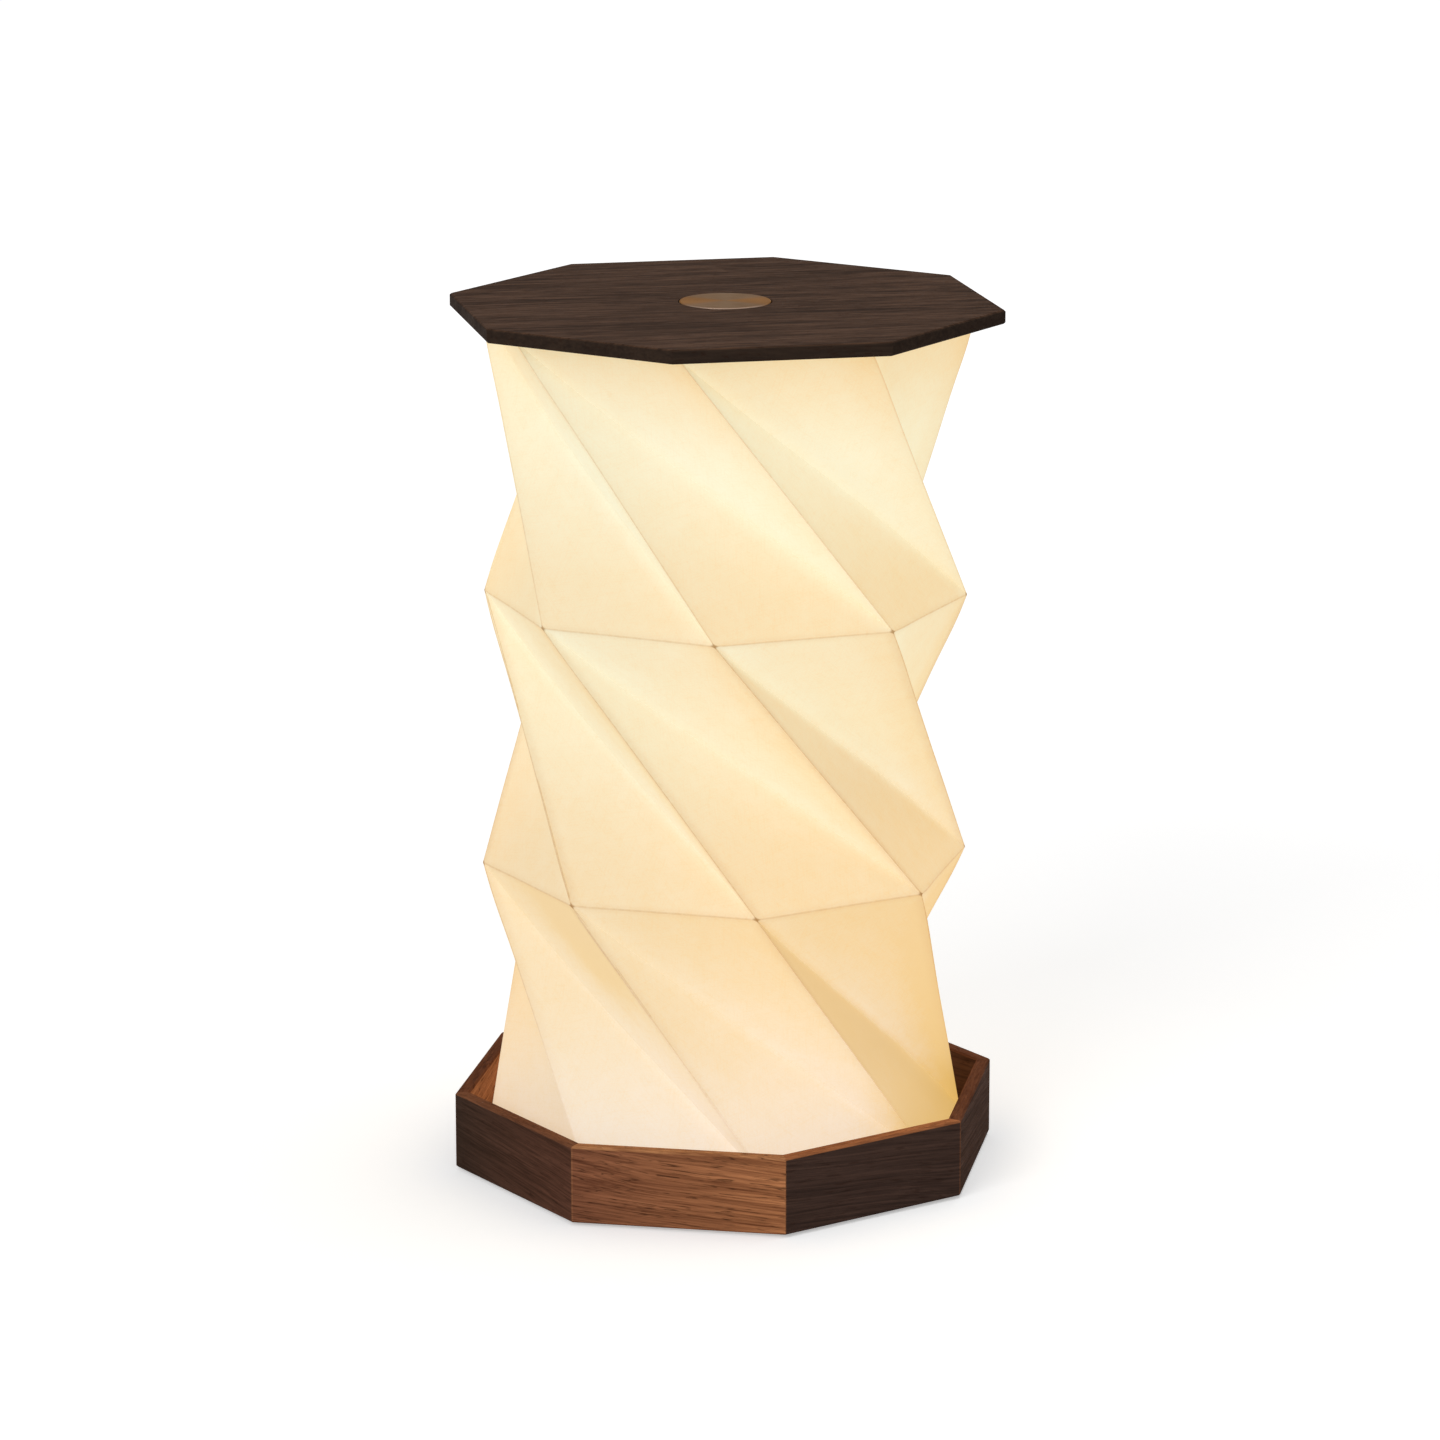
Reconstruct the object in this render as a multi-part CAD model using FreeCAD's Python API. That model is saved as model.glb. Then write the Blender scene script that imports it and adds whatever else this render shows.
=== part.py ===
import FreeCAD, Part
import math
import os

# A folding table lamp: an eight-sided wooden tray, a paper shade folded as a twisted
# bellows of three tiers, and a wooden lid with a push disc let into its middle.
# Millimetres. +Z is up, -Y is the front, and the origin is on the table under the tray.

# The octagon that the tray and the lid share
sides = 8
corner_radius = 70.0
stave_thickness = 3.4
stave_lip = 1.8
lid_thickness = 3.5
edge_ease = 0.4
joint_gap = 0.1

# Feet and cover under the tray
foot_diameter = 10.0
foot_height = 0.8
foot_inset = 12.8
cover_thickness = 1.2
cover_screw_inset = 10.0
floor_skin = 1.4

# Paper shade, from the lid down: each tier turns by its twist over its height,
# and the two crease rings between the tiers are drawn in by their waists
shade_setback = 8.0
upper_waist = 1.4
lower_waist = 0.4
upper_tier_height = 70.2
middle_tier_height = 68.1
lower_tier_height = 71.0
upper_twist_deg = 52.8
middle_twist_deg = 54.6
lower_twist_deg = 50.1
paper_thickness = 0.4
paper_inset_share = 1.5

# Rings that clamp the shade's flanges
ring_width = 8.0
ring_thickness = 2.0
ring_clearance = 0.6

# Countersunk screws, all of one kind
screw_head_radius = 1.8
screw_head_height = 0.9
screw_shank_radius = 1.0
screw_clearance = 0.05
floor_bite_share = 0.6
lid_bite_share = 0.65
skin_bite_share = 0.7

# Cell, charging board and charging socket in the floor
cell_length = 50.0
cell_width = 34.0
cell_thickness = 4.2
cell_front_margin = 15.4
pocket_clearance = 0.4
board_thickness = 1.0
charge_board_width = 22.0
charge_board_length = 24.0
charge_board_margin = 0.5
lead_channel_width = 6.0
header_length = 4.6
header_width = 3.6
header_height = 3.0
coil_side = 4.0
coil_height = 2.0
chip_side = 4.0
chip_height = 0.9
usb_width = 9.0
usb_height = 3.2
usb_length = 7.4
usb_wall = 0.3
usb_recess = 0.5
usb_tongue_width = 6.6
usb_tongue_thickness = 0.7
usb_tongue_setback = 1.0
usb_back_length = 1.6
usb_fit_clearance = 0.05
port_clearance = 0.3

# Light engine on the floor
light_plate_thickness = 0.8
light_plate_margin = 1.3
light_board_radius = 19.0
light_count = 12
light_length = 3.5
light_width = 2.8
light_height = 0.7
light_circle_radius = 13.2
light_screw_radius = 17.0
light_gap = 1.8
lead_hole_radius = 1.5
lead_hole_place = 9.3
cap_wall = 1.0
cap_clearance = 0.3
cap_round = 1.5
magnet_radius = 6.0
magnet_height = 2.0
boss_margin = 0.8
boss_clearance = 0.3

# Push disc and the switch under it
button_diameter = 22.8
button_gap = 0.3
button_proud = 0.2
button_round = 0.3
button_lip = 1.5
button_flange_width = 1.8
button_flange_thickness = 1.0
button_travel = 0.8
stem_radius = 2.5
stem_reach = 0.6
plunger_radius = 1.75
plunger_seat = 0.6
plunger_spare = 0.2
switch_side = 6.0
switch_height = 1.8
switch_board_radius = 10.0
switch_header_length = 4.6
switch_header_width = 2.2
switch_header_height = 1.8
cup_wall = 1.2
cup_skin = 0.6
cup_flange_thickness = 1.2
cup_flange_width = 7.5
cup_screw_inset = 2.8
cup_notch_width = 3.0
cup_notch_height = 1.6

# Shut state: the lid stops just above the rim, the switch cup just above the diffuser cap
closing_gap = 0.3
shut_clearance = 0.4

# Every cut runs past its piece by this much
overrun = 1.0

# Angles in degrees, counted from the front towards +X
full_turn_deg = 360.0
side_step_deg = full_turn_deg / sides
half_step_deg = side_step_deg / 2
quarter_turn_deg = full_turn_deg / 4
flat_share = math.cos(math.radians(half_step_deg))
tray_turn_deg = half_step_deg
ring_turns_deg = [tray_turn_deg]
for twist_deg in (lower_twist_deg, middle_twist_deg, upper_twist_deg):
    ring_turns_deg.append(ring_turns_deg[-1] - twist_deg)
lid_turn_deg = ring_turns_deg[-1]
ring_screw_angles_deg = [half_step_deg * 2 + quarter_turn_deg * k for k in range(4)]
cover_screw_angles_deg = [half_step_deg * 3 + quarter_turn_deg * k for k in range(4)]

# Heights of the tray, from the table up
cover_top = foot_height + cover_thickness
pocket_depth = max(cell_thickness, board_thickness + usb_height) + pocket_clearance
pocket_top = cover_top + pocket_depth
floor_top = pocket_top + floor_skin
floor_thickness = floor_top - cover_top

# Heights of the light engine and of the switch, which together set the tray's depth
light_plate_top = floor_top + light_plate_thickness
light_board_top = light_plate_top + board_thickness
cap_ceiling = light_board_top + light_height + light_gap
cap_top = cap_ceiling + cap_wall
base_magnet_bottom = cap_ceiling - joint_gap - magnet_height
plunger_show = button_travel + plunger_spare
magnet_pocket_depth = magnet_height + joint_gap
cup_floor = magnet_pocket_depth + cup_skin
cup_depth = stem_reach + plunger_show + switch_height + board_thickness + cup_floor
rim_top = cap_top + shut_clearance + cup_depth - closing_gap

# Heights of the shade and the lid
tier_heights = [lower_tier_height, middle_tier_height, upper_tier_height]
ring_heights = [floor_top + joint_gap]
for tier_height in tier_heights:
    ring_heights.append(ring_heights[-1] + tier_height)
shade_bottom = ring_heights[0]
shade_top = ring_heights[-1]
lid_underside = shade_top + joint_gap
lid_top = lid_underside + lid_thickness
base_ring_bottom = shade_bottom + paper_thickness + joint_gap
base_ring_top = base_ring_bottom + ring_thickness
lid_ring_top = shade_top - paper_thickness - joint_gap
lid_ring_bottom = lid_ring_top - ring_thickness
clamp_height = ring_thickness + paper_thickness + joint_gap * 2

# Widths worked out from the octagon
tray_outer_flat = corner_radius * flat_share
tray_inner_flat = tray_outer_flat - stave_thickness
rebate_flat = tray_outer_flat - stave_lip
floor_flat = rebate_flat - joint_gap
floor_corner_radius = floor_flat / flat_share
foot_circle_radius = floor_flat - foot_inset
cover_screw_radius = floor_corner_radius - cover_screw_inset
shade_corner_radius = corner_radius - shade_setback
ring_radii = [shade_corner_radius - waist for waist in (0, lower_waist, upper_waist, 0)]
paper_inset = paper_thickness * paper_inset_share
light_plate_radius = light_board_radius + light_plate_margin
cap_inner_radius = light_plate_radius + cap_clearance
cap_outer_radius = cap_inner_radius + cap_wall
boss_radius = magnet_radius + boss_margin
button_radius = button_diameter / 2
button_flange_radius = button_radius + button_flange_width
counterbore_radius = button_flange_radius + button_gap
cup_inner_radius = switch_board_radius + joint_gap
cup_outer_radius = cup_inner_radius + cup_wall
cup_flange_radius = cup_outer_radius + cup_flange_width
usb_mouth = tray_outer_flat - usb_recess
cell_near = floor_flat - cell_front_margin - cell_width
cell_middle = -cell_near - cell_width / 2
charge_board_end = floor_flat - charge_board_margin
charge_board_start = charge_board_end - charge_board_length
charge_board_top = cover_top + board_thickness
usb_middle_height = charge_board_top + usb_height / 2

up = FreeCAD.Vector(0, 0, 1)
down = FreeCAD.Vector(0, 0, -1)
rearwards = FreeCAD.Vector(0, 1, 0)


def polar(radius, angle_deg, height):
    """A point at an angle counted from the front, -Y, towards +X."""
    angle = math.radians(angle_deg)
    return FreeCAD.Vector(radius * math.sin(angle), -radius * math.cos(angle), height)


def octagon_points(radius, turn_deg, height):
    """The corners of a level octagon, one of them at turn_deg."""
    return [polar(radius, turn_deg + side_step_deg * k, height) for k in range(sides)]


def flat_face(points):
    """A flat face through corner points in order."""
    return Part.Face(Part.makePolygon(points + points[:1]))


def octagon_plate(radius, turn_deg, bottom, height):
    """A solid octagon of the given height."""
    return flat_face(octagon_points(radius, turn_deg, bottom)).extrude(up * height)


def disc(radius, bottom, height, place=FreeCAD.Vector()):
    """A solid round of the given height, standing at a place seen from above."""
    return Part.makeCylinder(radius, height, FreeCAD.Vector(place.x, place.y, bottom), up)


def block(length, width, height, x, y, bottom):
    """A box along X and Y, with its middle at x, y."""
    return Part.makeBox(length, width, height, FreeCAD.Vector(x - length / 2, y - width / 2, bottom))


def screw(head_point, way, length, clearance=0):
    """A countersunk screw from the middle of its head, or with a clearance the hole that it goes in."""
    head_radius = screw_head_radius + clearance
    shank_radius = screw_shank_radius + clearance
    head = Part.makeCone(head_radius, shank_radius, screw_head_height, head_point, way)
    shank = Part.makeCylinder(shank_radius, length + clearance, head_point, way)
    return head.fuse(shank).removeSplitter()


def screw_hole(head_point, way, length):
    """A screw's hole, open above its head."""
    mouth_radius = screw_head_radius + screw_clearance
    mouth = Part.makeCylinder(mouth_radius, overrun, head_point - way * overrun, way)
    return mouth.fuse(screw(head_point, way, length, screw_clearance))


def cut_all(shape, tools):
    """A shape less each of the tools."""
    for tool in tools:
        shape = shape.cut(tool)
    return shape


def eased_plate(radius, turn_deg, bottom, height):
    """An octagon plate whose top and bottom edges are broken."""
    plate = octagon_plate(radius, turn_deg, bottom, height)
    middle = bottom + height / 2
    level = [e for e in plate.Edges if abs(e.CenterOfMass.z - middle) > height / 4]
    return plate.makeChamfer(edge_ease, level)


def clamp_corner_radius(twist_deg, tier_height):
    """The corner radius of a clamp ring that stays inside the leaning paper beside it."""
    lean_share = 1 - math.cos(math.radians(twist_deg + side_step_deg))
    drop_share = clamp_height / tier_height
    return (shade_corner_radius - paper_inset) * (1 - lean_share * drop_share) - ring_clearance


base_ring_corner = clamp_corner_radius(lower_twist_deg, lower_tier_height)
lid_ring_corner = clamp_corner_radius(upper_twist_deg, upper_tier_height)


def ring_screw_place(ring_corner, turn_deg, height):
    """A clamp screw's place, in the middle of the ring's width."""
    return polar(ring_corner * flat_share - ring_width / 2, turn_deg, height)


def base_ring_screw_points():
    return [ring_screw_place(base_ring_corner, a, base_ring_top) for a in ring_screw_angles_deg]


def lid_ring_screw_points():
    first_deg = lid_turn_deg + half_step_deg
    angles_deg = [first_deg + quarter_turn_deg * k for k in range(4)]
    return [ring_screw_place(lid_ring_corner, a, lid_ring_bottom) for a in angles_deg]


base_ring_screw_length = clamp_height + floor_thickness * floor_bite_share
lid_ring_screw_length = clamp_height + lid_thickness * lid_bite_share
cover_screw_length = cover_thickness + floor_thickness * floor_bite_share
light_screw_length = light_plate_thickness + board_thickness + floor_skin * skin_bite_share
cup_screw_length = cup_flange_thickness + lid_thickness * lid_bite_share


def cover_screw_points():
    return [polar(cover_screw_radius, a, foot_height) for a in cover_screw_angles_deg]


def light_screw_points():
    angles_deg = [quarter_turn_deg, -quarter_turn_deg]
    return [polar(light_screw_radius, a, light_board_top) for a in angles_deg]


def cup_screw_points():
    radius = cup_flange_radius - cup_screw_inset
    angles_deg = [full_turn_deg / 3 * k for k in range(3)]
    return [polar(radius, a, lid_underside - cup_flange_thickness) for a in angles_deg]


def stadium(width, height, length, mouth_y, middle_height):
    """A bar with round sides along Y that ends at mouth_y, for the charging socket."""
    radius = height / 2
    reach = width / 2 - radius
    start = mouth_y - length
    left = Part.makeCylinder(radius, length, FreeCAD.Vector(-reach, start, middle_height), rearwards)
    right = Part.makeCylinder(radius, length, FreeCAD.Vector(reach, start, middle_height), rearwards)
    core = Part.makeBox(reach * 2, length, height, FreeCAD.Vector(-reach, start, middle_height - radius))
    return core.fuse([left, right]).removeSplitter()


# Tray


def stave(number):
    """One side of the tray: eased edges, a rebate for the floor and mitred ends."""
    facing_deg = side_step_deg * (number - 1)
    outline = [
        (tray_outer_flat - edge_ease, foot_height),
        (tray_outer_flat, foot_height + edge_ease),
        (tray_outer_flat, rim_top - edge_ease),
        (tray_outer_flat - edge_ease, rim_top),
        (tray_inner_flat + edge_ease, rim_top),
        (tray_inner_flat, rim_top - edge_ease),
        (tray_inner_flat, floor_top),
        (rebate_flat, floor_top),
        (rebate_flat, foot_height),
    ]
    length = corner_radius * 2
    section = flat_face([FreeCAD.Vector(-length / 2, -out, height) for out, height in outline])
    bar = section.extrude(FreeCAD.Vector(length, 0, 0))
    wedge_points = [FreeCAD.Vector(), polar(length, -half_step_deg, 0), polar(length, half_step_deg, 0)]
    wedge = flat_face(wedge_points).extrude(up * (rim_top + overrun))
    side = bar.common(wedge)
    side.rotate(FreeCAD.Vector(), up, facing_deg)
    return side


def rear_stave(number):
    """The side that the charging socket looks out of."""
    opening_width = usb_width + port_clearance * 2
    opening_height = usb_height + port_clearance * 2
    mouth = tray_outer_flat + overrun
    depth = stave_thickness + overrun * 2
    return stave(number).cut(stadium(opening_width, opening_height, depth, mouth, usb_middle_height))


def floor_panel():
    """The tray's floor, routed underneath for the cell, the charging board and their leads."""
    panel = octagon_plate(floor_corner_radius, tray_turn_deg, cover_top, floor_thickness)
    cut_bottom = cover_top - overrun
    cut_depth = pocket_depth + overrun
    cell_pocket = block(
        cell_length + pocket_clearance * 2,
        cell_width + pocket_clearance * 2,
        cut_depth,
        0,
        cell_middle,
        cut_bottom,
    )
    board_reach = rebate_flat + overrun - charge_board_start + pocket_clearance
    board_pocket = block(
        charge_board_width + pocket_clearance * 2,
        board_reach,
        cut_depth,
        0,
        rebate_flat + overrun - board_reach / 2,
        cut_bottom,
    )
    channel_length = cell_near + charge_board_start
    channel_middle = charge_board_start - channel_length / 2
    channel = block(lead_channel_width, channel_length, cut_depth, 0, channel_middle, cut_bottom)
    lead_hole = disc(lead_hole_radius, cover_top, floor_thickness + overrun, polar(-lead_hole_place, 0, 0))
    tools = [cell_pocket, board_pocket, channel, lead_hole]
    tools += [screw_hole(p, down, base_ring_screw_length) for p in base_ring_screw_points()]
    tools += [screw_hole(p, up, cover_screw_length) for p in cover_screw_points()]
    tools += [screw_hole(p, down, light_screw_length) for p in light_screw_points()]
    return cut_all(panel, tools)


def base_cover():
    """The plate that closes the floor's pockets from below."""
    plate = octagon_plate(floor_corner_radius, tray_turn_deg, foot_height, cover_thickness)
    return cut_all(plate, [screw_hole(p, up, cover_screw_length) for p in cover_screw_points()])


def cover_screws():
    return Part.makeCompound([screw(p, up, cover_screw_length) for p in cover_screw_points()])


def foot_pads():
    places = [polar(foot_circle_radius, a, 0) for a in ring_screw_angles_deg]
    return Part.makeCompound([disc(foot_diameter / 2, 0, foot_height, place) for place in places])


def battery_cell():
    """A flat pouch cell with round long edges, lying on the cover."""
    cell = block(cell_length, cell_width, cell_thickness, 0, cell_middle, cover_top)
    along = [e for e in cell.Edges if abs(e.Vertexes[0].X - e.Vertexes[1].X) > cell_length / 2]
    return cell.makeFillet(cell_thickness / 4, along)


def charge_board():
    middle = charge_board_start + charge_board_length / 2
    return block(charge_board_width, charge_board_length, board_thickness, 0, middle, cover_top)


def board_parts():
    """Three lead headers, a coil and a charging chip on the charging board."""
    parts = []
    header_row_shares = (-0.32, 0.0, 0.32)
    header_place_share = 0.16
    header_y = charge_board_start + charge_board_length * header_place_share
    for share in header_row_shares:
        x = charge_board_width * share
        parts.append(block(header_length, header_width, header_height, x, header_y, charge_board_top))
    part_place_share = 0.48
    part_row_share = 0.25
    part_y = charge_board_start + charge_board_length * part_place_share
    part_x = charge_board_width * part_row_share
    parts.append(block(coil_side, coil_side, coil_height, -part_x, part_y, charge_board_top))
    parts.append(block(chip_side, chip_side, chip_height, part_x, part_y, charge_board_top))
    return Part.makeCompound(parts)


def usb_shell():
    """The charging socket's metal shell, open at the rear and closed by its insulator."""
    outer = stadium(usb_width, usb_height, usb_length, usb_mouth, usb_middle_height)
    bore_mouth = usb_mouth + overrun
    bore_length = usb_length + overrun * 2
    bore_width = usb_width - usb_wall * 2
    bore_height = usb_height - usb_wall * 2
    return outer.cut(stadium(bore_width, bore_height, bore_length, bore_mouth, usb_middle_height))


def usb_insulator():
    """The socket's plastic back with the contact tongue on it."""
    width = usb_width - (usb_wall + usb_fit_clearance) * 2
    height = usb_height - (usb_wall + usb_fit_clearance) * 2
    back_mouth = usb_mouth - usb_length + usb_back_length
    back = stadium(width, height, usb_back_length, back_mouth, usb_middle_height)
    tongue_length = usb_length - usb_tongue_setback - usb_back_length / 2
    tongue_middle = usb_mouth - usb_tongue_setback - tongue_length / 2
    tongue_bottom = usb_middle_height - usb_tongue_thickness / 2
    tongue = block(usb_tongue_width, tongue_length, usb_tongue_thickness, 0, tongue_middle, tongue_bottom)
    return back.fuse(tongue).removeSplitter()


# Light engine


def light_plate():
    """The round plate under the light board, with a boss that lifts the closing magnet."""
    plate = disc(light_plate_radius, floor_top, light_plate_thickness)
    boss = disc(boss_radius, floor_top, base_magnet_bottom - floor_top)
    lead_hole = disc(lead_hole_radius, floor_top - overrun, cap_top, polar(-lead_hole_place, 0, 0))
    tools = [screw_hole(p, down, light_screw_length) for p in light_screw_points()]
    return cut_all(plate.fuse(boss).removeSplitter(), tools + [lead_hole])


def light_board():
    board = disc(light_board_radius, light_plate_top, board_thickness)
    centre_hole = disc(boss_radius + boss_clearance, floor_top, cap_top)
    lead_hole = disc(lead_hole_radius, floor_top, cap_top, polar(-lead_hole_place, 0, 0))
    tools = [screw_hole(p, down, light_screw_length) for p in light_screw_points()]
    return cut_all(board, tools + [centre_hole, lead_hole])


def light_chips():
    """A ring of small white lights."""
    chips = []
    step_deg = full_turn_deg / light_count
    for k in range(light_count):
        chip = block(light_width, light_length, light_height, 0, -light_circle_radius, light_board_top)
        chip.rotate(FreeCAD.Vector(), up, step_deg * (k + 1 / 2))
        chips.append(chip)
    return Part.makeCompound(chips)


def light_screws():
    return Part.makeCompound([screw(p, down, light_screw_length) for p in light_screw_points()])


def base_magnet():
    return disc(magnet_radius, base_magnet_bottom, magnet_height)


def diffuser_cap():
    """An opal cap over the lights, standing on the floor."""
    solid = disc(cap_outer_radius, floor_top, cap_top - floor_top)
    top_edge = [e for e in solid.Edges if e.Closed and abs(e.CenterOfMass.z - cap_top) < cap_wall / 2]
    shell = solid.makeFillet(cap_round, top_edge)
    return shell.cut(disc(cap_inner_radius, floor_top - overrun, cap_ceiling - floor_top + overrun))


# Shade


def clamp_ring(ring_corner, turn_deg, bottom, screw_holes):
    """An octagon ring that clamps one flange of the shade."""
    ring = octagon_plate(ring_corner, turn_deg, bottom, ring_thickness)
    inner_corner = ring_corner - ring_width / flat_share
    inside = octagon_plate(inner_corner, turn_deg, bottom - overrun, ring_thickness + overrun * 2)
    return cut_all(ring, [inside] + screw_holes)


def base_ring():
    holes = [screw_hole(p, down, base_ring_screw_length) for p in base_ring_screw_points()]
    return clamp_ring(base_ring_corner, tray_turn_deg, base_ring_bottom, holes)


def base_ring_screws():
    return Part.makeCompound([screw(p, down, base_ring_screw_length) for p in base_ring_screw_points()])


def lid_ring():
    holes = [screw_hole(p, up, lid_ring_screw_length) for p in lid_ring_screw_points()]
    return clamp_ring(lid_ring_corner, lid_turn_deg, lid_ring_bottom, holes)


def lid_ring_screws():
    return Part.makeCompound([screw(p, up, lid_ring_screw_length) for p in lid_ring_screw_points()])


def tier_faces(lower, upper):
    """The sixteen flat panels between two rings of corners.

    Each upper corner's ridge runs down to the lower corner one twist further round,
    and its valley to the corner after that.
    """
    faces = []
    for k in range(sides):
        after = (k + 1) % sides
        faces.append(flat_face([upper[k], lower[k], lower[after]]))
        faces.append(flat_face([upper[k], lower[after], upper[after]]))
    return faces


def band_faces(first, second):
    """The eight flat strips between two octagons that are turned alike."""
    strips = []
    for k in range(sides):
        after = (k + 1) % sides
        strips.append(flat_face([first[k], first[after], second[after], second[k]]))
    return strips


def paper_shade():
    """The folded sheet as one thin closed solid, with a flange at its foot and at its head."""
    inner_heights = list(ring_heights)
    inner_heights[0] += paper_thickness
    inner_heights[-1] -= paper_thickness
    inner_radii = [radius - paper_inset for radius in ring_radii]
    outer = [octagon_points(*ring) for ring in zip(ring_radii, ring_turns_deg, ring_heights)]
    inner = [octagon_points(*ring) for ring in zip(inner_radii, ring_turns_deg, inner_heights)]
    faces = []
    for skin in (outer, inner):
        for lower, upper in zip(skin, skin[1:]):
            faces += tier_faces(lower, upper)
    ends = [(0, base_ring_corner), (-1, lid_ring_corner)]
    for end, ring_corner in ends:
        lip_corner = ring_corner - ring_width / flat_share
        lip_outside = octagon_points(lip_corner, ring_turns_deg[end], ring_heights[end])
        lip_inside = octagon_points(lip_corner, ring_turns_deg[end], inner_heights[end])
        faces += band_faces(outer[end], lip_outside)
        faces += band_faces(lip_outside, lip_inside)
        faces += band_faces(lip_inside, inner[end])
    sheet = Part.makeSolid(Part.makeShell(faces))
    if sheet.Volume < 0:
        sheet.reverse()
    hole_radius = screw_shank_radius + ring_clearance
    hole_height = paper_thickness + joint_gap * 2
    holes = [disc(hole_radius, floor_top, hole_height, p) for p in base_ring_screw_points()]
    holes += [disc(hole_radius, lid_ring_top, hole_height, p) for p in lid_ring_screw_points()]
    return cut_all(sheet, holes)


# Lid


def lid_plate():
    """The lid: a thin octagon with a stepped hole for the push disc."""
    plate = eased_plate(corner_radius, lid_turn_deg, lid_underside, lid_thickness)
    bore = disc(button_radius + button_gap, lid_underside - overrun, lid_thickness + overrun * 2)
    counterbore = disc(counterbore_radius, lid_underside - overrun, lid_thickness - button_lip + overrun)
    tools = [bore, counterbore]
    tools += [screw_hole(p, up, lid_ring_screw_length) for p in lid_ring_screw_points()]
    tools += [screw_hole(p, up, cup_screw_length) for p in cup_screw_points()]
    return cut_all(plate, tools)


def switch_cup():
    """The flanged cup under the lid that holds the switch and, in its floor, the lid's magnet."""
    bottom = lid_underside - cup_depth
    body = disc(cup_outer_radius, bottom, cup_depth)
    flange = disc(cup_flange_radius, lid_underside - cup_flange_thickness, cup_flange_thickness)
    inside = disc(cup_inner_radius, bottom + cup_floor, cup_depth)
    magnet_pocket = disc(magnet_radius + joint_gap, bottom + cup_skin, cup_depth)
    notch_bottom = lid_underside - cup_flange_thickness - cup_notch_height
    notch = block(cup_notch_width, cup_outer_radius * 2, cup_notch_height, 0, cup_outer_radius, notch_bottom)
    tools = [inside, magnet_pocket, notch]
    tools += [screw_hole(p, up, cup_screw_length) for p in cup_screw_points()]
    return cut_all(body.fuse(flange).removeSplitter(), tools)


def cup_screws():
    return Part.makeCompound([screw(p, up, cup_screw_length) for p in cup_screw_points()])


def lid_magnet():
    return disc(magnet_radius, lid_underside - cup_depth + cup_skin, magnet_height)


switch_board_bottom = lid_underside - cup_depth + cup_floor
switch_board_top = switch_board_bottom + board_thickness
switch_top = switch_board_top + switch_height


def switch_board():
    return disc(switch_board_radius, switch_board_bottom, board_thickness)


def switch_body():
    """The push switch, bored for its plunger."""
    body = block(switch_side, switch_side, switch_height, 0, 0, switch_board_top)
    bore_depth = plunger_seat + button_travel + joint_gap
    bore = disc(plunger_radius + joint_gap, switch_top - bore_depth, bore_depth + overrun)
    return body.cut(bore)


def switch_header():
    """The header on the switch board for the lead from the tray."""
    y = (switch_side / 2 + switch_board_radius) / 2
    return block(switch_header_length, switch_header_width, switch_header_height, 0, y, switch_board_top)


# Button

button_flange_top = lid_top - button_lip - joint_gap
button_flange_bottom = button_flange_top - button_flange_thickness
plunger_top = switch_top + plunger_show


def button_disc():
    """The turned push disc, held under the lid's lip by its flange."""
    face = disc(button_radius, button_flange_top, lid_top + button_proud - button_flange_top)
    face_top = lid_top + button_proud
    rim = [e for e in face.Edges if e.Closed and abs(e.CenterOfMass.z - face_top) < button_proud / 2]
    flange = disc(button_flange_radius, button_flange_bottom, button_flange_thickness)
    return face.makeFillet(button_round, rim).fuse(flange).removeSplitter()


def button_stem():
    return disc(stem_radius, plunger_top, button_flange_bottom - plunger_top)


def switch_plunger():
    return disc(plunger_radius, switch_top - plunger_seat, plunger_show + plunger_seat)


nodes = {}
rear_number = sides // 2 + 1
for number in range(1, sides + 1):
    make_stave = rear_stave if number == rear_number else stave
    nodes["tray_stave_" + str(number)] = make_stave(number)
makers = [
    floor_panel,
    base_cover,
    cover_screws,
    foot_pads,
    battery_cell,
    charge_board,
    board_parts,
    usb_shell,
    usb_insulator,
    light_plate,
    light_board,
    light_chips,
    light_screws,
    base_magnet,
    diffuser_cap,
    base_ring,
    base_ring_screws,
    paper_shade,
    lid_plate,
    lid_ring,
    lid_ring_screws,
    switch_cup,
    cup_screws,
    lid_magnet,
    switch_board,
    switch_body,
    switch_header,
    button_disc,
    button_stem,
    switch_plunger,
]
for maker in makers:
    nodes[maker.__name__] = maker()

os.makedirs("parts", exist_ok=True)
for name, shape in nodes.items():
    shape.exportStep("parts/" + name + ".step")
    print(name, len(shape.Solids), "solids", round(shape.Volume, 2), "mm3", shape.isValid())

print("rim", round(rim_top, 3), "lid underside", round(lid_underside, 3), "lid top", round(lid_top, 3))
print("fold travel", round(lid_underside - rim_top - closing_gap, 3))
print("twist when open", round(tray_turn_deg - lid_turn_deg, 3))
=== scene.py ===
import math
from functools import partial

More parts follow.
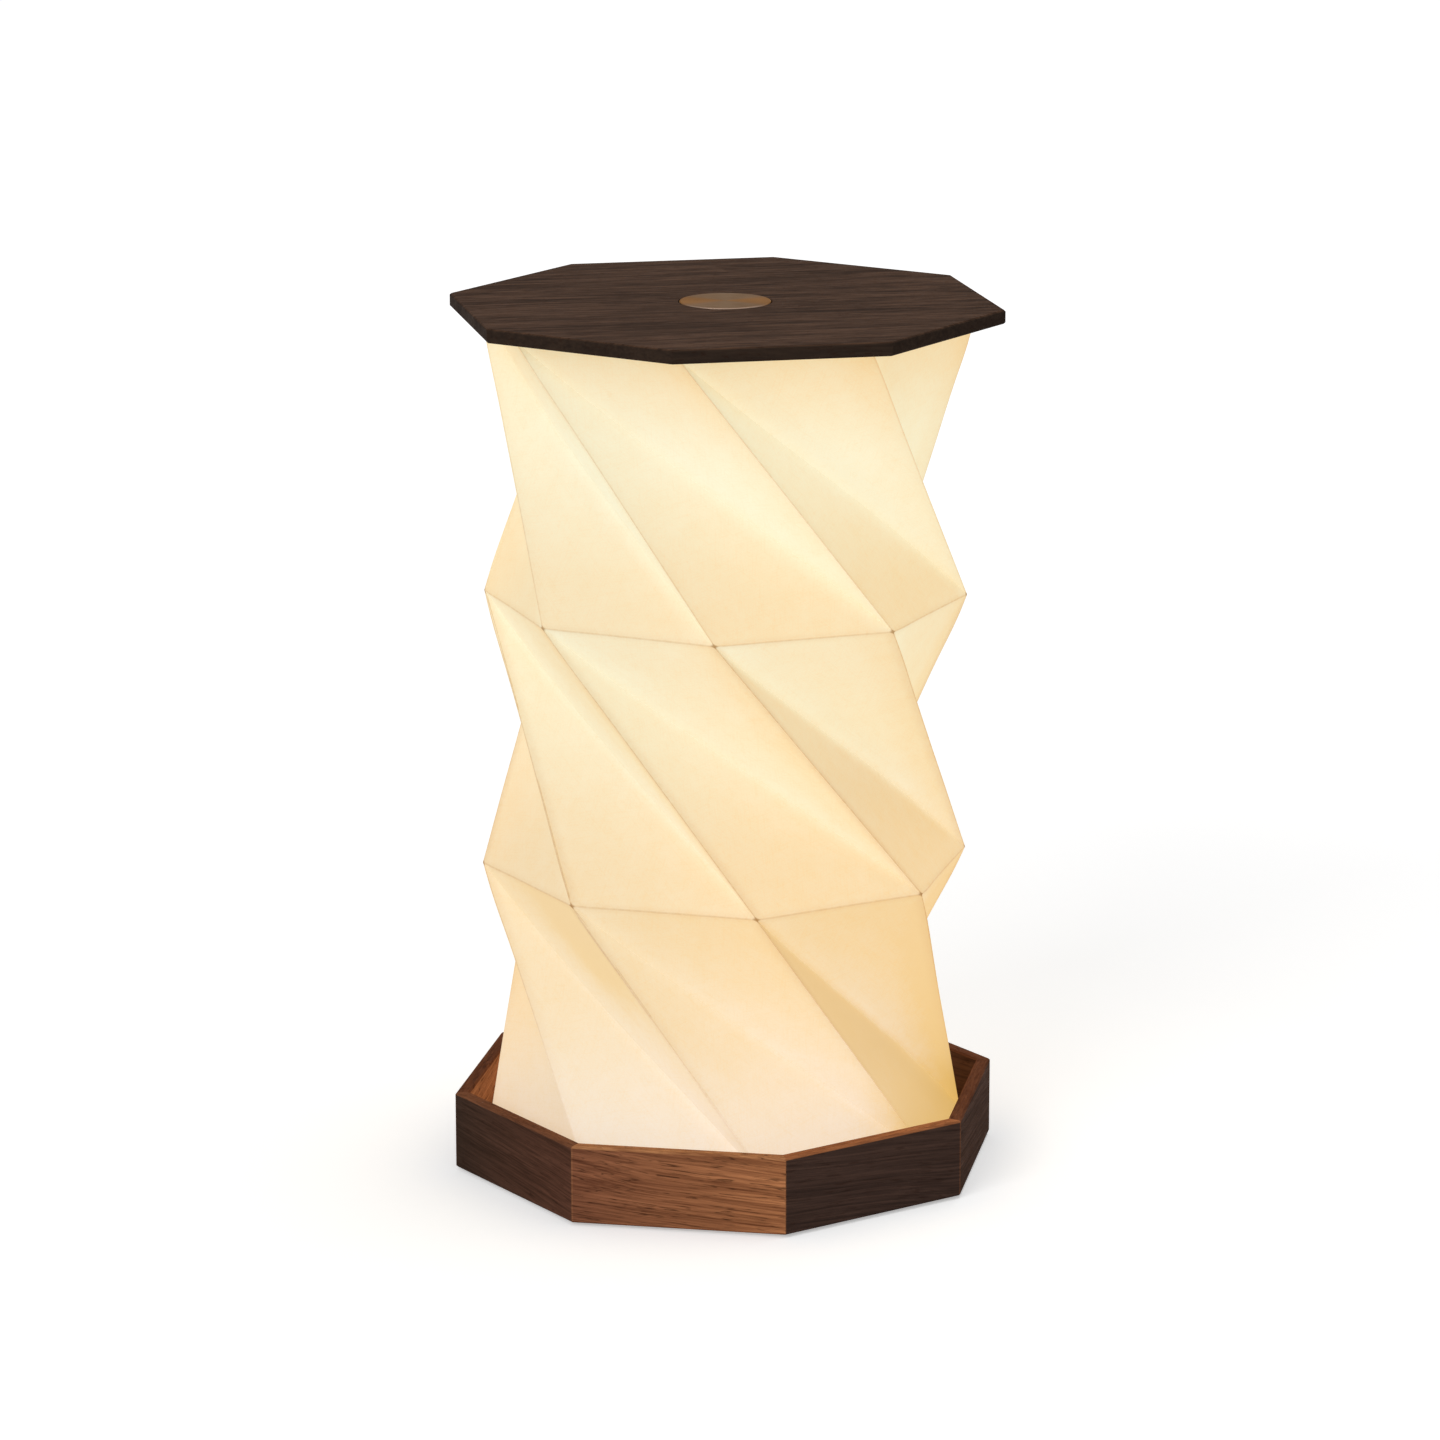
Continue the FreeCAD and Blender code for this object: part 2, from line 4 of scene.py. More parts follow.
import bpy
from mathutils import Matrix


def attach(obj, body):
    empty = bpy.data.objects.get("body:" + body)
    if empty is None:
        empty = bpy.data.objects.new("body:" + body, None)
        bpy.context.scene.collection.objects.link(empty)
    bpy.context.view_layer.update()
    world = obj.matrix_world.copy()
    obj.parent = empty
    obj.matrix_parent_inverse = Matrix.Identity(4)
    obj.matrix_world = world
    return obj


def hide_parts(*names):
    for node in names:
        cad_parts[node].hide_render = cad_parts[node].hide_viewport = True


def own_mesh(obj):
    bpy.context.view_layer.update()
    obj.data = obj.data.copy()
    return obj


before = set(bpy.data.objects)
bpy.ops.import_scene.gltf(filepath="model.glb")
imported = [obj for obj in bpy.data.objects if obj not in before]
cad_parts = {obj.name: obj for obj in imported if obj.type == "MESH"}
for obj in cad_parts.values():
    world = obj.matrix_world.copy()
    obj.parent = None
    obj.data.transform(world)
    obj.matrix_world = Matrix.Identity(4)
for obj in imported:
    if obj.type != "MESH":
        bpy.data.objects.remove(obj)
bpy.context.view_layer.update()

# The studio: a white floor, one wide soft lamp from the front left, a smaller one overhead
# and even light from all round. The camera stands to the right of the front, a little above.
camera_place = (0.251126, -1.382183, 0.459932)
camera_pitch_deg = 76.1727
camera_heading_deg = 10.2976
camera_lens = 143.427
camera_sensor = 36.0
camera_shift = -0.00365
camera_reach = 100.0
plain_white = (1.0, 1.0, 1.0, 1.0)
floor_size = 24.0
floor_white = (0.86, 0.86, 0.86, 1.0)
floor_roughness = 0.9
floor_gloss = 0.0
floor_lift_near = 0.40
floor_lift_far = 0.64
floor_near = 0.20
floor_far = 1.30
room_level = 0.42
backdrop_level = 1.0
key_place = (-0.63, -1.73, 1.05)
key_watts = 15.5
key_width = 1.1
top_place = (0.25, 0.25, 1.7)
top_watts = 6.0
top_width = 0.9
lamp_aim = (0.0, 0.0, 0.11)
scene = bpy.context.scene


def add_node(tree, kind, feeds=None, **options):
    """Adds a node, sets its options, then links a socket or sets a value on each input named."""
    node = tree.nodes.new(kind)
    for option, value in options.items():
        setattr(node, option, value)
    for key, value in (feeds or {}).items():
        if isinstance(value, bpy.types.NodeSocket):
            tree.links.new(value, node.inputs[key])
        else:
            node.inputs[key].default_value = value
    return node


def calc(tree, operation, *values):
    """One step of arithmetic on sockets or plain numbers."""
    return add_node(tree, "ShaderNodeMath", dict(enumerate(values)), operation=operation).outputs[0]


def remap(tree, value, low, high, first=0.0, last=1.0, smooth=False):
    """Moves a value from one span to another, held at both ends."""
    kind = "SMOOTHSTEP" if smooth else "LINEAR"
    feeds = {0: value, 1: low, 2: high, 3: first, 4: last}
    return add_node(tree, "ShaderNodeMapRange", feeds, interpolation_type=kind).outputs[0]


def new_finish(name, fixed=None):
    """A material, its tree and its shader, with the values that never change set on the shader itself."""
    finish = bpy.data.materials.new(name)
    finish.use_nodes = True
    shader = finish.node_tree.nodes["Principled BSDF"]
    for socket, value in (fixed or {}).items():
        shader.inputs[socket].default_value = value
    return finish, finish.node_tree, shader


def aim_lamp(name, place, watts, width):
    """A square soft lamp that looks at the middle of the shade."""
    data = bpy.data.lights.new(name, "AREA")
    data.energy = watts
    data.size = width
    lamp = bpy.data.objects.new(name, data)
    scene.collection.objects.link(lamp)
    lamp.location = place
    way = [aim - own for aim, own in zip(lamp_aim, place)]
    flat = math.hypot(way[0], way[1])
    lamp.rotation_euler = (math.atan2(flat, -way[2]), 0.0, math.atan2(-way[0], way[1]))


def seen_directly(tree):
    """1 for rays from the camera, a mirror or glass, and 0 for the light that falls on things."""
    path = add_node(tree, "ShaderNodeLightPath")
    shiny = calc(tree, "MAXIMUM", path.outputs["Is Glossy Ray"], path.outputs["Is Transmission Ray"])
    return calc(tree, "MAXIMUM", path.outputs["Is Camera Ray"], shiny)


scene.view_settings.view_transform = "Standard"
camera_data = bpy.data.cameras.new("camera")
camera_data.lens = camera_lens
camera_data.sensor_width = camera_sensor
camera_data.shift_x = camera_shift
camera_data.clip_end = camera_reach
camera = bpy.data.objects.new("camera", camera_data)
scene.collection.objects.link(camera)
camera.location = camera_place
camera.rotation_euler = (math.radians(camera_pitch_deg), 0.0, math.radians(camera_heading_deg))
scene.camera = camera

room = bpy.data.worlds.new("room")
room.use_nodes = True
scene.world = room
room_tree = room.node_tree
room_tree.nodes.clear()
room_light = add_node(room_tree, "ShaderNodeBackground", {"Color": plain_white, "Strength": room_level})
room_white = add_node(room_tree, "ShaderNodeBackground", {"Color": plain_white, "Strength": backdrop_level})
room_mix = add_node(
    room_tree,
    "ShaderNodeMixShader",
    {0: seen_directly(room_tree), 1: room_light.outputs[0], 2: room_white.outputs[0]},
)
add_node(room_tree, "ShaderNodeOutputWorld", {"Surface": room_mix.outputs[0]})
aim_lamp("key_lamp", key_place, key_watts, key_width)
aim_lamp("top_lamp", top_place, top_watts, top_width)

floor_finish, floor_tree, floor_shader = new_finish(
    "studio floor",
    {"Base Color": floor_white, "Roughness": floor_roughness, "Specular IOR Level": floor_gloss},
)
floor_place = add_node(floor_tree, "ShaderNodeTexCoord").outputs["Object"]
floor_length = add_node(floor_tree, "ShaderNodeVectorMath", {0: floor_place}, operation="LENGTH")
floor_reach = floor_length.outputs["Value"]
floor_lift = remap(floor_tree, floor_reach, floor_near, floor_far, floor_lift_near, floor_lift_far)
floor_level = calc(floor_tree, "MULTIPLY", seen_directly(floor_tree), floor_lift)
floor_glow = add_node(floor_tree, "ShaderNodeEmission", {"Strength": floor_level})
floor_sum = add_node(
    floor_tree, "ShaderNodeAddShader", {0: floor_shader.outputs[0], 1: floor_glow.outputs[0]}
)
floor_tree.links.new(floor_sum.outputs[0], floor_tree.nodes["Material Output"].inputs["Surface"])
floor_half = floor_size / 2
floor_mesh = bpy.data.meshes.new("studio_floor")
floor_corners = [(-1, -1), (1, -1), (1, 1), (-1, 1)]
floor_mesh.from_pydata([(x * floor_half, y * floor_half, 0.0) for x, y in floor_corners], [], [(0, 1, 2, 3)])
floor_mesh.materials.append(floor_finish)
studio_floor = bpy.data.objects.new("studio_floor", floor_mesh)
scene.collection.objects.link(studio_floor)

# Tray staves: eight short walnut boards, mitred at their ends and glued into an eight-sided wall.
# Each board has its own tones: the front one redder and paler, its neighbours darker.
# They are oiled, with the grain along each board.
stave_count = 8
stave_tones = {
    1: ((146, 94, 68), (85, 49, 34), 1.0),
    2: ((81, 61, 53), (54, 41, 36), 0.6),
    3: ((79, 52, 39), (53, 35, 25), 0.6),
    4: ((96, 65, 48), (62, 41, 30), 0.8),
    5: ((120, 78, 52), (74, 45, 30), 0.9),
    6: ((86, 60, 46), (58, 39, 30), 0.8),
    7: ((104, 68, 47), (66, 41, 29), 0.9),
    8: ((68, 51, 42), (45, 34, 27), 0.6),
}
stave_far_tones = {1: ((196, 131, 87), (114, 68, 43)), 8: ((108, 71, 56), (72, 47, 36))}
# Painted light: the rims are lighter as painted glow from the shade, most on the three front rims, and the
# upright arrises carry a painted highlight.
stave_rim_painted_light = ((116, 72, 49), (84, 50, 34))
stave_rim_painted_glow = {
    1: ((196, 138, 93), (140, 90, 59)),
    2: ((176, 113, 73), (126, 77, 49)),
    8: ((132, 86, 60), (96, 60, 42)),
}
# The insides are painted: paler on staves 5 to 8 as painted glow from the shade, darker on the others as
# painted shade.
stave_inside_painted_glow = ((176, 121, 86), (130, 85, 58))
stave_inside_painted_shade = ((86, 58, 45), (61, 40, 31))
stave_rim = 0.0205
stave_inner_flat = -0.06127
stave_ease = 0.0004
stave_rim_start = stave_rim - stave_ease * 1.5
stave_half = 0.02679
stave_arris_highlight_share = 0.35
stave_wander = 0.006
stave_slope = 0.09
stave_pore = 0.75
stave_slip = 0.37
walnut_oiled = {"pore": (44, 25, 16), "gloss": 0.004, "relief": 0.35, "depth": 0.0003}


def paint(red, green, blue):
    """A colour written in steps of 0 to 255, as the linear values that a socket takes."""
    linear = []
    for step in (red, green, blue):
        share = step / 255
        linear.append(share / 12.92 if share <= 0.04045 else ((share + 0.055) / 1.055) ** 2.4)
    return (*linear, 1.0)


def blend_colours(tree, amount, first, second, how="MIX"):
    """Mixes two colours by an amount, which may be a socket or a number."""
    feeds = {0: amount, 6: first, 7: second}
    return add_node(tree, "ShaderNodeMix", feeds, data_type="RGBA", blend_type=how).outputs[2]


def stretch(tree, vector, along, across, through):
    """Scales a place along its three axes, so that a noise turns into streaks."""
    feeds = {0: vector, 1: (along, across, through)}
    return add_node(tree, "ShaderNodeVectorMath", feeds, operation="MULTIPLY").outputs[0]


def join(tree, first, second):
    """The sum of two vectors."""
    return add_node(tree, "ShaderNodeVectorMath", {0: first, 1: second}, operation="ADD").outputs[0]


def noise(tree, vector, scale, detail=2.0, roughness=0.5, offset=0.0):
    """A noise from 0 to 1 at a place."""
    feeds = {"Vector": vector, "W": offset, "Scale": scale, "Detail": detail, "Roughness": roughness}
    return add_node(tree, "ShaderNodeTexNoise", feeds, noise_dimensions="4D").outputs[0]


def surface_group(name, colours, values):
    """A shader node group for a surface's colour, roughness and height, with its named inputs."""
    tree = bpy.data.node_groups.new(name, "ShaderNodeTree")
    for kind, sockets in (("Vector", ["Vector"]), ("Color", colours), ("Float", values)):
        for socket in sockets:
            tree.interface.new_socket(socket, in_out="INPUT", socket_type="NodeSocket" + kind)
    for socket, kind in (("Color", "Color"), ("Roughness", "Float"), ("Height", "Float")):
        tree.interface.new_socket(socket, in_out="OUTPUT", socket_type="NodeSocket" + kind)
    return tree, add_node(tree, "NodeGroupInput").outputs


# Wood grain along X: broad bands, fine streaks that wander a little, and thin broken vessel lines.
# Each layer of streaks has its pace along and across the board, and its detail.
grain_sway = (16, 55, 55)
grain_paces = {
    "bands": (9, 240, 2.0),
    "lines": (15, 1000, 3.0),
    "threads": (50, 2600, 3.0),
    "vessels": (44, 1900, 1.0),
    "breaks": (240, 1000, 1.0),
}
grain_crispness = 0.55
grain_weights = {"bands": 0.24, "lines": 0.36, "threads": 0.40}
grain_span = (0.40, 0.60)
grain_roughness = (0.66, 0.52)
grain_swell = 0.4
vessel_width = 0.045
vessel_breaks = (0.44, 0.58)
grain_group, grain_in = surface_group(
    "wood grain", ["Pale", "Dark", "Pore"], ["Pore Amount", "Wander", "Slope", "Board"]
)
grain_swayed = stretch(grain_group, grain_in["Vector"], *grain_sway)
grain_slow = noise(grain_group, grain_swayed, 1.0, 1.0, 0.5, grain_in["Board"])
grain_off = calc(grain_group, "SUBTRACT", grain_slow, 0.5)
grain_drift = calc(grain_group, "MULTIPLY", grain_off, grain_in["Wander"])
grain_along = add_node(grain_group, "ShaderNodeSeparateXYZ", {0: grain_in["Vector"]}).outputs[0]
grain_climb = calc(grain_group, "MULTIPLY_ADD", grain_along, grain_in["Slope"], grain_drift)
grain_bend = add_node(grain_group, "ShaderNodeCombineXYZ", {1: grain_drift, 2: grain_climb}).outputs[0]
grain_place = join(grain_group, grain_in["Vector"], grain_bend)
grain_layers = {}
for layer, (along, across, detail) in grain_paces.items():
    spread = stretch(grain_group, grain_place, along, across, across)
    grain_layers[layer] = noise(grain_group, spread, 1.0, detail, grain_crispness, grain_in["Board"])
grain_mixed = 0.0
for layer, weight in grain_weights.items():
    grain_mixed = calc(grain_group, "MULTIPLY_ADD", grain_layers[layer], weight, grain_mixed)
grain_share = remap(grain_group, grain_mixed, *grain_span)
vessel_reach = calc(grain_group, "ABSOLUTE", calc(grain_group, "SUBTRACT", grain_layers["vessels"], 0.5))
vessel_line = remap(grain_group, vessel_reach, 0.0, vessel_width, 1.0, 0.0, smooth=True)
vessel_dash = remap(grain_group, grain_layers["breaks"], *vessel_breaks, smooth=True)
vessel_whole = calc(grain_group, "MULTIPLY", vessel_line, vessel_dash)
vessels = calc(grain_group, "MULTIPLY", vessel_whole, grain_in["Pore Amount"])
grain_body = blend_colours(grain_group, grain_share, grain_in["Dark"], grain_in["Pale"])
grain_colour = blend_colours(grain_group, vessels, grain_body, grain_in["Pore"])
grain_rough = remap(grain_group, grain_share, 0.0, 1.0, *grain_roughness)
grain_rise = calc(grain_group, "MULTIPLY", grain_share, grain_swell)
grain_height = calc(grain_group, "SUBTRACT", grain_rise, vessels)
grain_made = {"Color": grain_colour, "Roughness": grain_rough, "Height": grain_height}
add_node(grain_group, "NodeGroupOutput", grain_made)


def own_place(tree, turn_deg=0.0):
    """The piece's own coordinates in metres, turned about the upright axis."""
    coordinates = add_node(tree, "ShaderNodeTexCoord").outputs["Object"]
    turn = (0.0, 0.0, math.radians(turn_deg))
    return add_node(tree, "ShaderNodeMapping", {"Vector": coordinates, "Rotation": turn}).outputs[0]


def roughen(tree, shader, height, strength, depth):
    """Fine relief: a bump from a height."""
    feeds = {"Height": height, "Strength": strength, "Distance": depth}
    tree.links.new(add_node(tree, "ShaderNodeBump", feeds).outputs[0], shader.inputs["Normal"])


def surface(tree, shader, group, feeds, relief, depth):
    """Places a shared group in a material, and gives its colour, roughness and height to the shader."""
    given_out = add_node(tree, "ShaderNodeGroup", feeds, node_tree=group).outputs
    tree.links.new(given_out["Color"], shader.inputs["Base Color"])
    tree.links.new(given_out["Roughness"], shader.inputs["Roughness"])
    roughen(tree, shader, given_out["Height"], relief, depth)


def wood_finish(
    name, tones, pore, pore_amount, wander, board, gloss, relief, depth,
    turn_deg=0.0, figure=(1.0, 1.0, 1.0), slope=0.0, other_faces=(),
):
    """Wood with its grain along the board, in other tones on the faces that each mask picks out."""
    finish, tree, shader = new_finish(name, {"Specular IOR Level": gloss})
    place = own_place(tree, turn_deg)
    pale, dark = [paint(*tone) for tone in tones]
    for pick_faces, (other_pale, other_dark) in other_faces:
        picked = pick_faces(tree, add_node(tree, "ShaderNodeSeparateXYZ", {0: place}).outputs)
        pale = blend_colours(tree, picked, pale, paint(*other_pale))
        dark = blend_colours(tree, picked, dark, paint(*other_dark))
    feeds = {
        "Vector": stretch(tree, place, *figure),
        "Pale": pale,
        "Dark": dark,
        "Pore": paint(*pore),
        "Pore Amount": pore_amount,
        "Wander": wander,
        "Slope": slope,
        "Board": board,
    }
    surface(tree, shader, grain_group, feeds, relief, depth)
    return finish


def stave_rim_and_arris_painted_light(tree, parts):
    """The rim and, faintly, the upright arrises of a stave, turned so that it faces the front: painted glow
    and highlight.
    """
    rim = remap(tree, parts[2], stave_rim_start, stave_rim - stave_ease)
    end = calc(tree, "ABSOLUTE", parts[0])
    arris = remap(tree, end, stave_half - stave_ease, stave_half - stave_ease / 4, 0.0, stave_arris_highlight_share)
    return calc(tree, "MAXIMUM", rim, arris)


def stave_inner_face(tree, parts):
    """The inside of a stave below its rim, turned so that it faces the front, where glow or shade is painted.
    """
    inner = remap(tree, parts[1], stave_inner_flat - stave_ease, stave_inner_flat - stave_ease / 2)
    below = remap(tree, parts[2], stave_rim_start, stave_rim - stave_ease, 1.0, 0.0)
    return calc(tree, "MULTIPLY", inner, below)


def stave_far_end(tree, parts):
    """How far along a stave a place is, from its left end to its right, seen from outside."""
    return remap(tree, parts[0], -stave_half, stave_half)


def dress(finish, *names):
    """Gives CAD nodes a finish."""
    for name in names:
        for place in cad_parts[name].material_slots:
            place.material = finish


for number, (pale, dark, pore) in stave_tones.items():
    inside_painted_light = stave_inside_painted_glow if number > stave_count / 2 else stave_inside_painted_shade
    stave_walnut = wood_finish(
        "walnut stave " + str(number),
        **walnut_oiled,
        tones=(pale, dark),
        pore_amount=pore * stave_pore,
        turn_deg=(1 - number) * 360 / stave_count,
        wander=stave_wander,
        slope=stave_slope,
        board=number * stave_slip,
        other_faces=[
            (stave_far_end, stave_far_tones.get(number, (pale, dark))),
            (stave_rim_and_arris_painted_light, stave_rim_painted_glow.get(number, stave_rim_painted_light)),
            (stave_inner_face, inside_painted_light),
        ],
    )
    dress(stave_walnut, "tray_stave_" + str(number))

# Floor, base cover and clamp rings: birch plywood, routed for the cell and the boards.
# The floor is glued into the staves' rebate, and the rings are screwed down on the paper's flanges.
birch = wood_finish(
    "birch plywood",
    tones=((206, 168, 120), (168, 124, 80)),
    pore=(120, 84, 54),
    pore_amount=0.3,
    wander=0.012,
    board=4.2,
    gloss=0.2,
    relief=0.25,
    depth=0.0002,
)
dress(birch, "floor_panel", "base_cover", "base_ring", "lid_ring")

# Feet: round pads of soft black silicone, stuck under the cover.
# The same fine mottle, in other colours, also serves the moulded and coated pieces further on.
mottle_broad_scale = 90.0
mottle_fine_weight = 0.6
mottle_broad_weight = 0.4
mottle_span = (0.35, 0.65)
mottle_relief_depth = 0.0001
mottle_group, mottle_in = surface_group("fine mottle", ["Light", "Deep"], ["Grain", "Smooth", "Rough"])
mottle_fine = noise(mottle_group, mottle_in["Vector"], mottle_in["Grain"])
mottle_broad = noise(mottle_group, mottle_in["Vector"], mottle_broad_scale)
mottle_fine_part = calc(mottle_group, "MULTIPLY", mottle_fine, mottle_fine_weight)
mottle_broad_part = calc(mottle_group, "MULTIPLY", mottle_broad, mottle_broad_weight)
mottle_sum = calc(mottle_group, "ADD", mottle_fine_part, mottle_broad_part)
mottle_share = remap(mottle_group, mottle_sum, *mottle_span)
mottle_colour = blend_colours(mottle_group, mottle_share, mottle_in["Deep"], mottle_in["Light"])
mottle_rough = remap(mottle_group, mottle_share, 0.0, 1.0, mottle_in["Smooth"], mottle_in["Rough"])
mottle_made = {"Color": mottle_colour, "Roughness": mottle_rough, "Height": mottle_fine}
add_node(mottle_group, "NodeGroupOutput", mottle_made)


def mottled_finish(name, light, deep, grain, roughness, relief, fixed=None):
    """A moulded, coated or plated finish: its colour and gloss vary a little all over."""
    finish, tree, shader = new_finish(name, fixed)
    feeds = {
        "Vector": own_place(tree),
        "Light": paint(*light),
        "Deep": paint(*deep),
        "Grain": grain,
        "Smooth": roughness[0],
        "Rough": roughness[1],
    }
    surface(tree, shader, mottle_group, feeds, relief, mottle_relief_depth)
    return finish


silicone = mottled_finish(
    "black silicone", light=(46, 46, 46), deep=(34, 34, 35), grain=3000.0, roughness=(0.6, 0.8), relief=0.4
)
foot_count = 4
foot_circle = 0.04997
foot_first_deg = -45.0
foot_radius = 0.0050
foot_height = 0.0008
foot_round = 0.0003
foot_facets = 48
weld_distance = 0.00001


def size_inputs(tree, sizes):
    """Makes the named inputs of a node tree, and returns each one's identifier and value by its name."""
    keys = {}
    for socket, kind, value in sizes:
        made = tree.interface.new_socket(socket, in_out="INPUT", socket_type="NodeSocket" + kind)
        keys[socket] = (made.identifier, value)
    tree.interface.new_socket("Geometry", in_out="OUTPUT", socket_type="NodeSocketGeometry")
    return keys, add_node(tree, "NodeGroupInput").outputs


def cone(tree, facets, bottom, top, height, ends="NGON"):
    """A straight round piece from one radius up to another, open or closed at its ends."""
    feeds = {"Vertices": facets, "Radius Bottom": bottom, "Radius Top": top, "Depth": height}
    return add_node(tree, "GeometryNodeMeshCone", feeds, fill_type=ends).outputs["Mesh"]


def raised(tree, piece, height):
    """A piece moved up by a height."""
    rise = add_node(tree, "ShaderNodeCombineXYZ", {2: height}).outputs[0]
    return add_node(tree, "GeometryNodeTransform", {"Geometry": piece, "Translation": rise}).outputs[0]


def together(tree, *pieces):
    """Several pieces as one."""
    joint = add_node(tree, "GeometryNodeJoinGeometry")
    for piece in pieces:
        tree.links.new(piece, joint.inputs[0])
    return joint.outputs[0]


def welded(tree, piece):
    """A piece whose meeting points are merged."""
    feeds = {"Geometry": piece, "Distance": weld_distance}
    return add_node(tree, "GeometryNodeMergeByDistance", feeds).outputs[0]


def ring_of(tree, count, circle, first, piece):
    """Copies of a piece on a circle about the middle of the lamp."""
    spots = add_node(tree, "GeometryNodeMeshCircle", {"Vertices": count, "Radius": circle}).outputs[0]
    turn = add_node(tree, "ShaderNodeCombineXYZ", {2: first}).outputs[0]
    turned = add_node(tree, "GeometryNodeTransform", {"Geometry": spots, "Rotation": turn}).outputs[0]
    return add_node(tree, "GeometryNodeInstanceOnPoints", {"Points": turned, "Instance": piece}).outputs[0]


def end_tree(tree, geometry, finish):
    """Real geometry with its finish, as the tree's result."""
    real = add_node(tree, "GeometryNodeRealizeInstances", {0: geometry}).outputs[0]
    painted = add_node(tree, "GeometryNodeSetMaterial", {"Geometry": real, "Material": finish}).outputs[0]
    add_node(tree, "NodeGroupOutput", {"Geometry": painted})


def grown(name, tree, keys, finishing=None, own_sizes=None):
    """Runs a tree with a piece's own sizes, and any finishing modifier, and returns a plain mesh object."""
    maker = bpy.data.objects.new(name + "_maker", bpy.data.meshes.new(name + "_seed"))
    scene.collection.objects.link(maker)
    rule = maker.modifiers.new("rule", "NODES")
    rule.node_group = tree
    for socket, (identifier, value) in keys.items():
        rule[identifier] = (own_sizes or {}).get(socket, value)
    if finishing:
        finishing(maker)
    bpy.context.view_layer.update()
    ready = maker.evaluated_get(bpy.context.evaluated_depsgraph_get())
    mesh = bpy.data.meshes.new_from_object(ready)
    mesh.name = name
    bpy.data.objects.remove(maker)
    piece = bpy.data.objects.new(name, mesh)
    scene.collection.objects.link(piece)
    return piece


foot_tree = bpy.data.node_groups.new("foot pads", "GeometryNodeTree")
foot_keys, foot_in = size_inputs(
    foot_tree,
    [
        ("Count", "Int", foot_count),
        ("Circle", "Float", foot_circle),
        ("First Angle", "Float", math.radians(foot_first_deg)),
        ("Radius", "Float", foot_radius),
        ("Height", "Float", foot_height),
        ("Rounding", "Float", foot_round),
    ],
)
foot_straight = calc(foot_tree, "SUBTRACT", foot_in["Height"], foot_in["Rounding"])
foot_tread = calc(foot_tree, "SUBTRACT", foot_in["Radius"], foot_in["Rounding"])
foot_edge = cone(foot_tree, foot_facets, foot_tread, foot_in["Radius"], foot_in["Rounding"], "NONE")
foot_wall = cone(foot_tree, foot_facets, foot_in["Radius"], foot_in["Radius"], foot_straight, "NONE")
foot_ends = []
for end_radius in (foot_tread, foot_in["Radius"]):
    end_round = {"Vertices": foot_facets, "Radius": end_radius}
    foot_ends.append(add_node(foot_tree, "GeometryNodeMeshCircle", end_round, fill_type="NGON").outputs[0])
foot_whole = together(
    foot_tree,
    foot_edge,
    raised(foot_tree, foot_wall, foot_in["Rounding"]),
    add_node(foot_tree, "GeometryNodeFlipFaces", {0: foot_ends[0]}).outputs[0],
    raised(foot_tree, foot_ends[1], foot_in["Height"]),
)
foot_pad = welded(foot_tree, foot_whole)
foot_ring = ring_of(foot_tree, foot_in["Count"], foot_in["Circle"], foot_in["First Angle"], foot_pad)
end_tree(foot_tree, foot_ring, silicone)
rest_pads = grown("rest_pads", foot_tree, foot_keys)
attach(rest_pads, "tray")
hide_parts("foot_pads")

# Screws, the charging socket's shell and the two closing magnets, all of bright plated metal.
# The screws are driven from below or from inside. The four that hold the cover show:
# countersunk heads with a cross recess, flush with the plywood.
plated_steel = mottled_finish(
    "plated steel",
    light=(190, 190, 194),
    deep=(160, 160, 166),
    grain=1800.0,
    roughness=(0.25, 0.4),
    relief=0.15,
    fixed={"Metallic": 1.0},
)
dress(plated_steel, "base_ring_screws", "lid_ring_screws", "light_screws", "cup_screws")
dress(plated_steel, "usb_shell", "base_magnet", "lid_magnet")
cover_screw_count = 4
cover_screw_circle = 0.05794
cover_screw_first_deg = -22.5
cover_screw_face = 0.0008
cover_screw_length = 0.0048
cover_head_radius = 0.0018
cover_head_height = 0.0009
cover_head_facets = 40
cover_shank_radius = 0.0010
cover_shank_facets = 24
cover_tip_share = 0.3
cover_slot_length = 0.0021
cover_slot_width = 0.00048
cover_slot_depth = 0.0007
screw_tree = bpy.data.node_groups.new("cover screws", "GeometryNodeTree")
screw_keys, screw_in = size_inputs(
    screw_tree,
    [
        ("Count", "Int", cover_screw_count),
        ("Circle", "Float", cover_screw_circle),
        ("First Angle", "Float", math.radians(cover_screw_first_deg)),
        ("Face Height", "Float", cover_screw_face),
        ("Length", "Float", cover_screw_length),
        ("Head Radius", "Float", cover_head_radius),
        ("Head Height", "Float", cover_head_height),
        ("Shank Radius", "Float", cover_shank_radius),
        ("Slot Length", "Float", cover_slot_length),
        ("Slot Width", "Float", cover_slot_width),
        ("Slot Depth", "Float", cover_slot_depth),
    ],
)
screw_head = screw_in["Head Height"]
shank_radius = screw_in["Shank Radius"]
screw_cut = cone(screw_tree, cover_head_facets, screw_in["Head Radius"], shank_radius, screw_head)
slot_depth_twice = calc(screw_tree, "MULTIPLY", screw_in["Slot Depth"], 2.0)
for slot_x, slot_y in (("Slot Length", "Slot Width"), ("Slot Width", "Slot Length")):
    slot_sides = {0: screw_in[slot_x], 1: screw_in[slot_y], 2: slot_depth_twice}
    slot_size = add_node(screw_tree, "ShaderNodeCombineXYZ", slot_sides).outputs[0]
    slot_block = add_node(screw_tree, "GeometryNodeMeshCube", {"Size": slot_size}).outputs["Mesh"]
    screw_cut = add_node(
        screw_tree,
        "GeometryNodeMeshBoolean",
        {"Mesh 1": screw_cut, "Mesh 2": slot_block},
        operation="DIFFERENCE",
        solver="EXACT",
    ).outputs["Mesh"]
shank_tip = calc(screw_tree, "MULTIPLY", shank_radius, cover_tip_share)
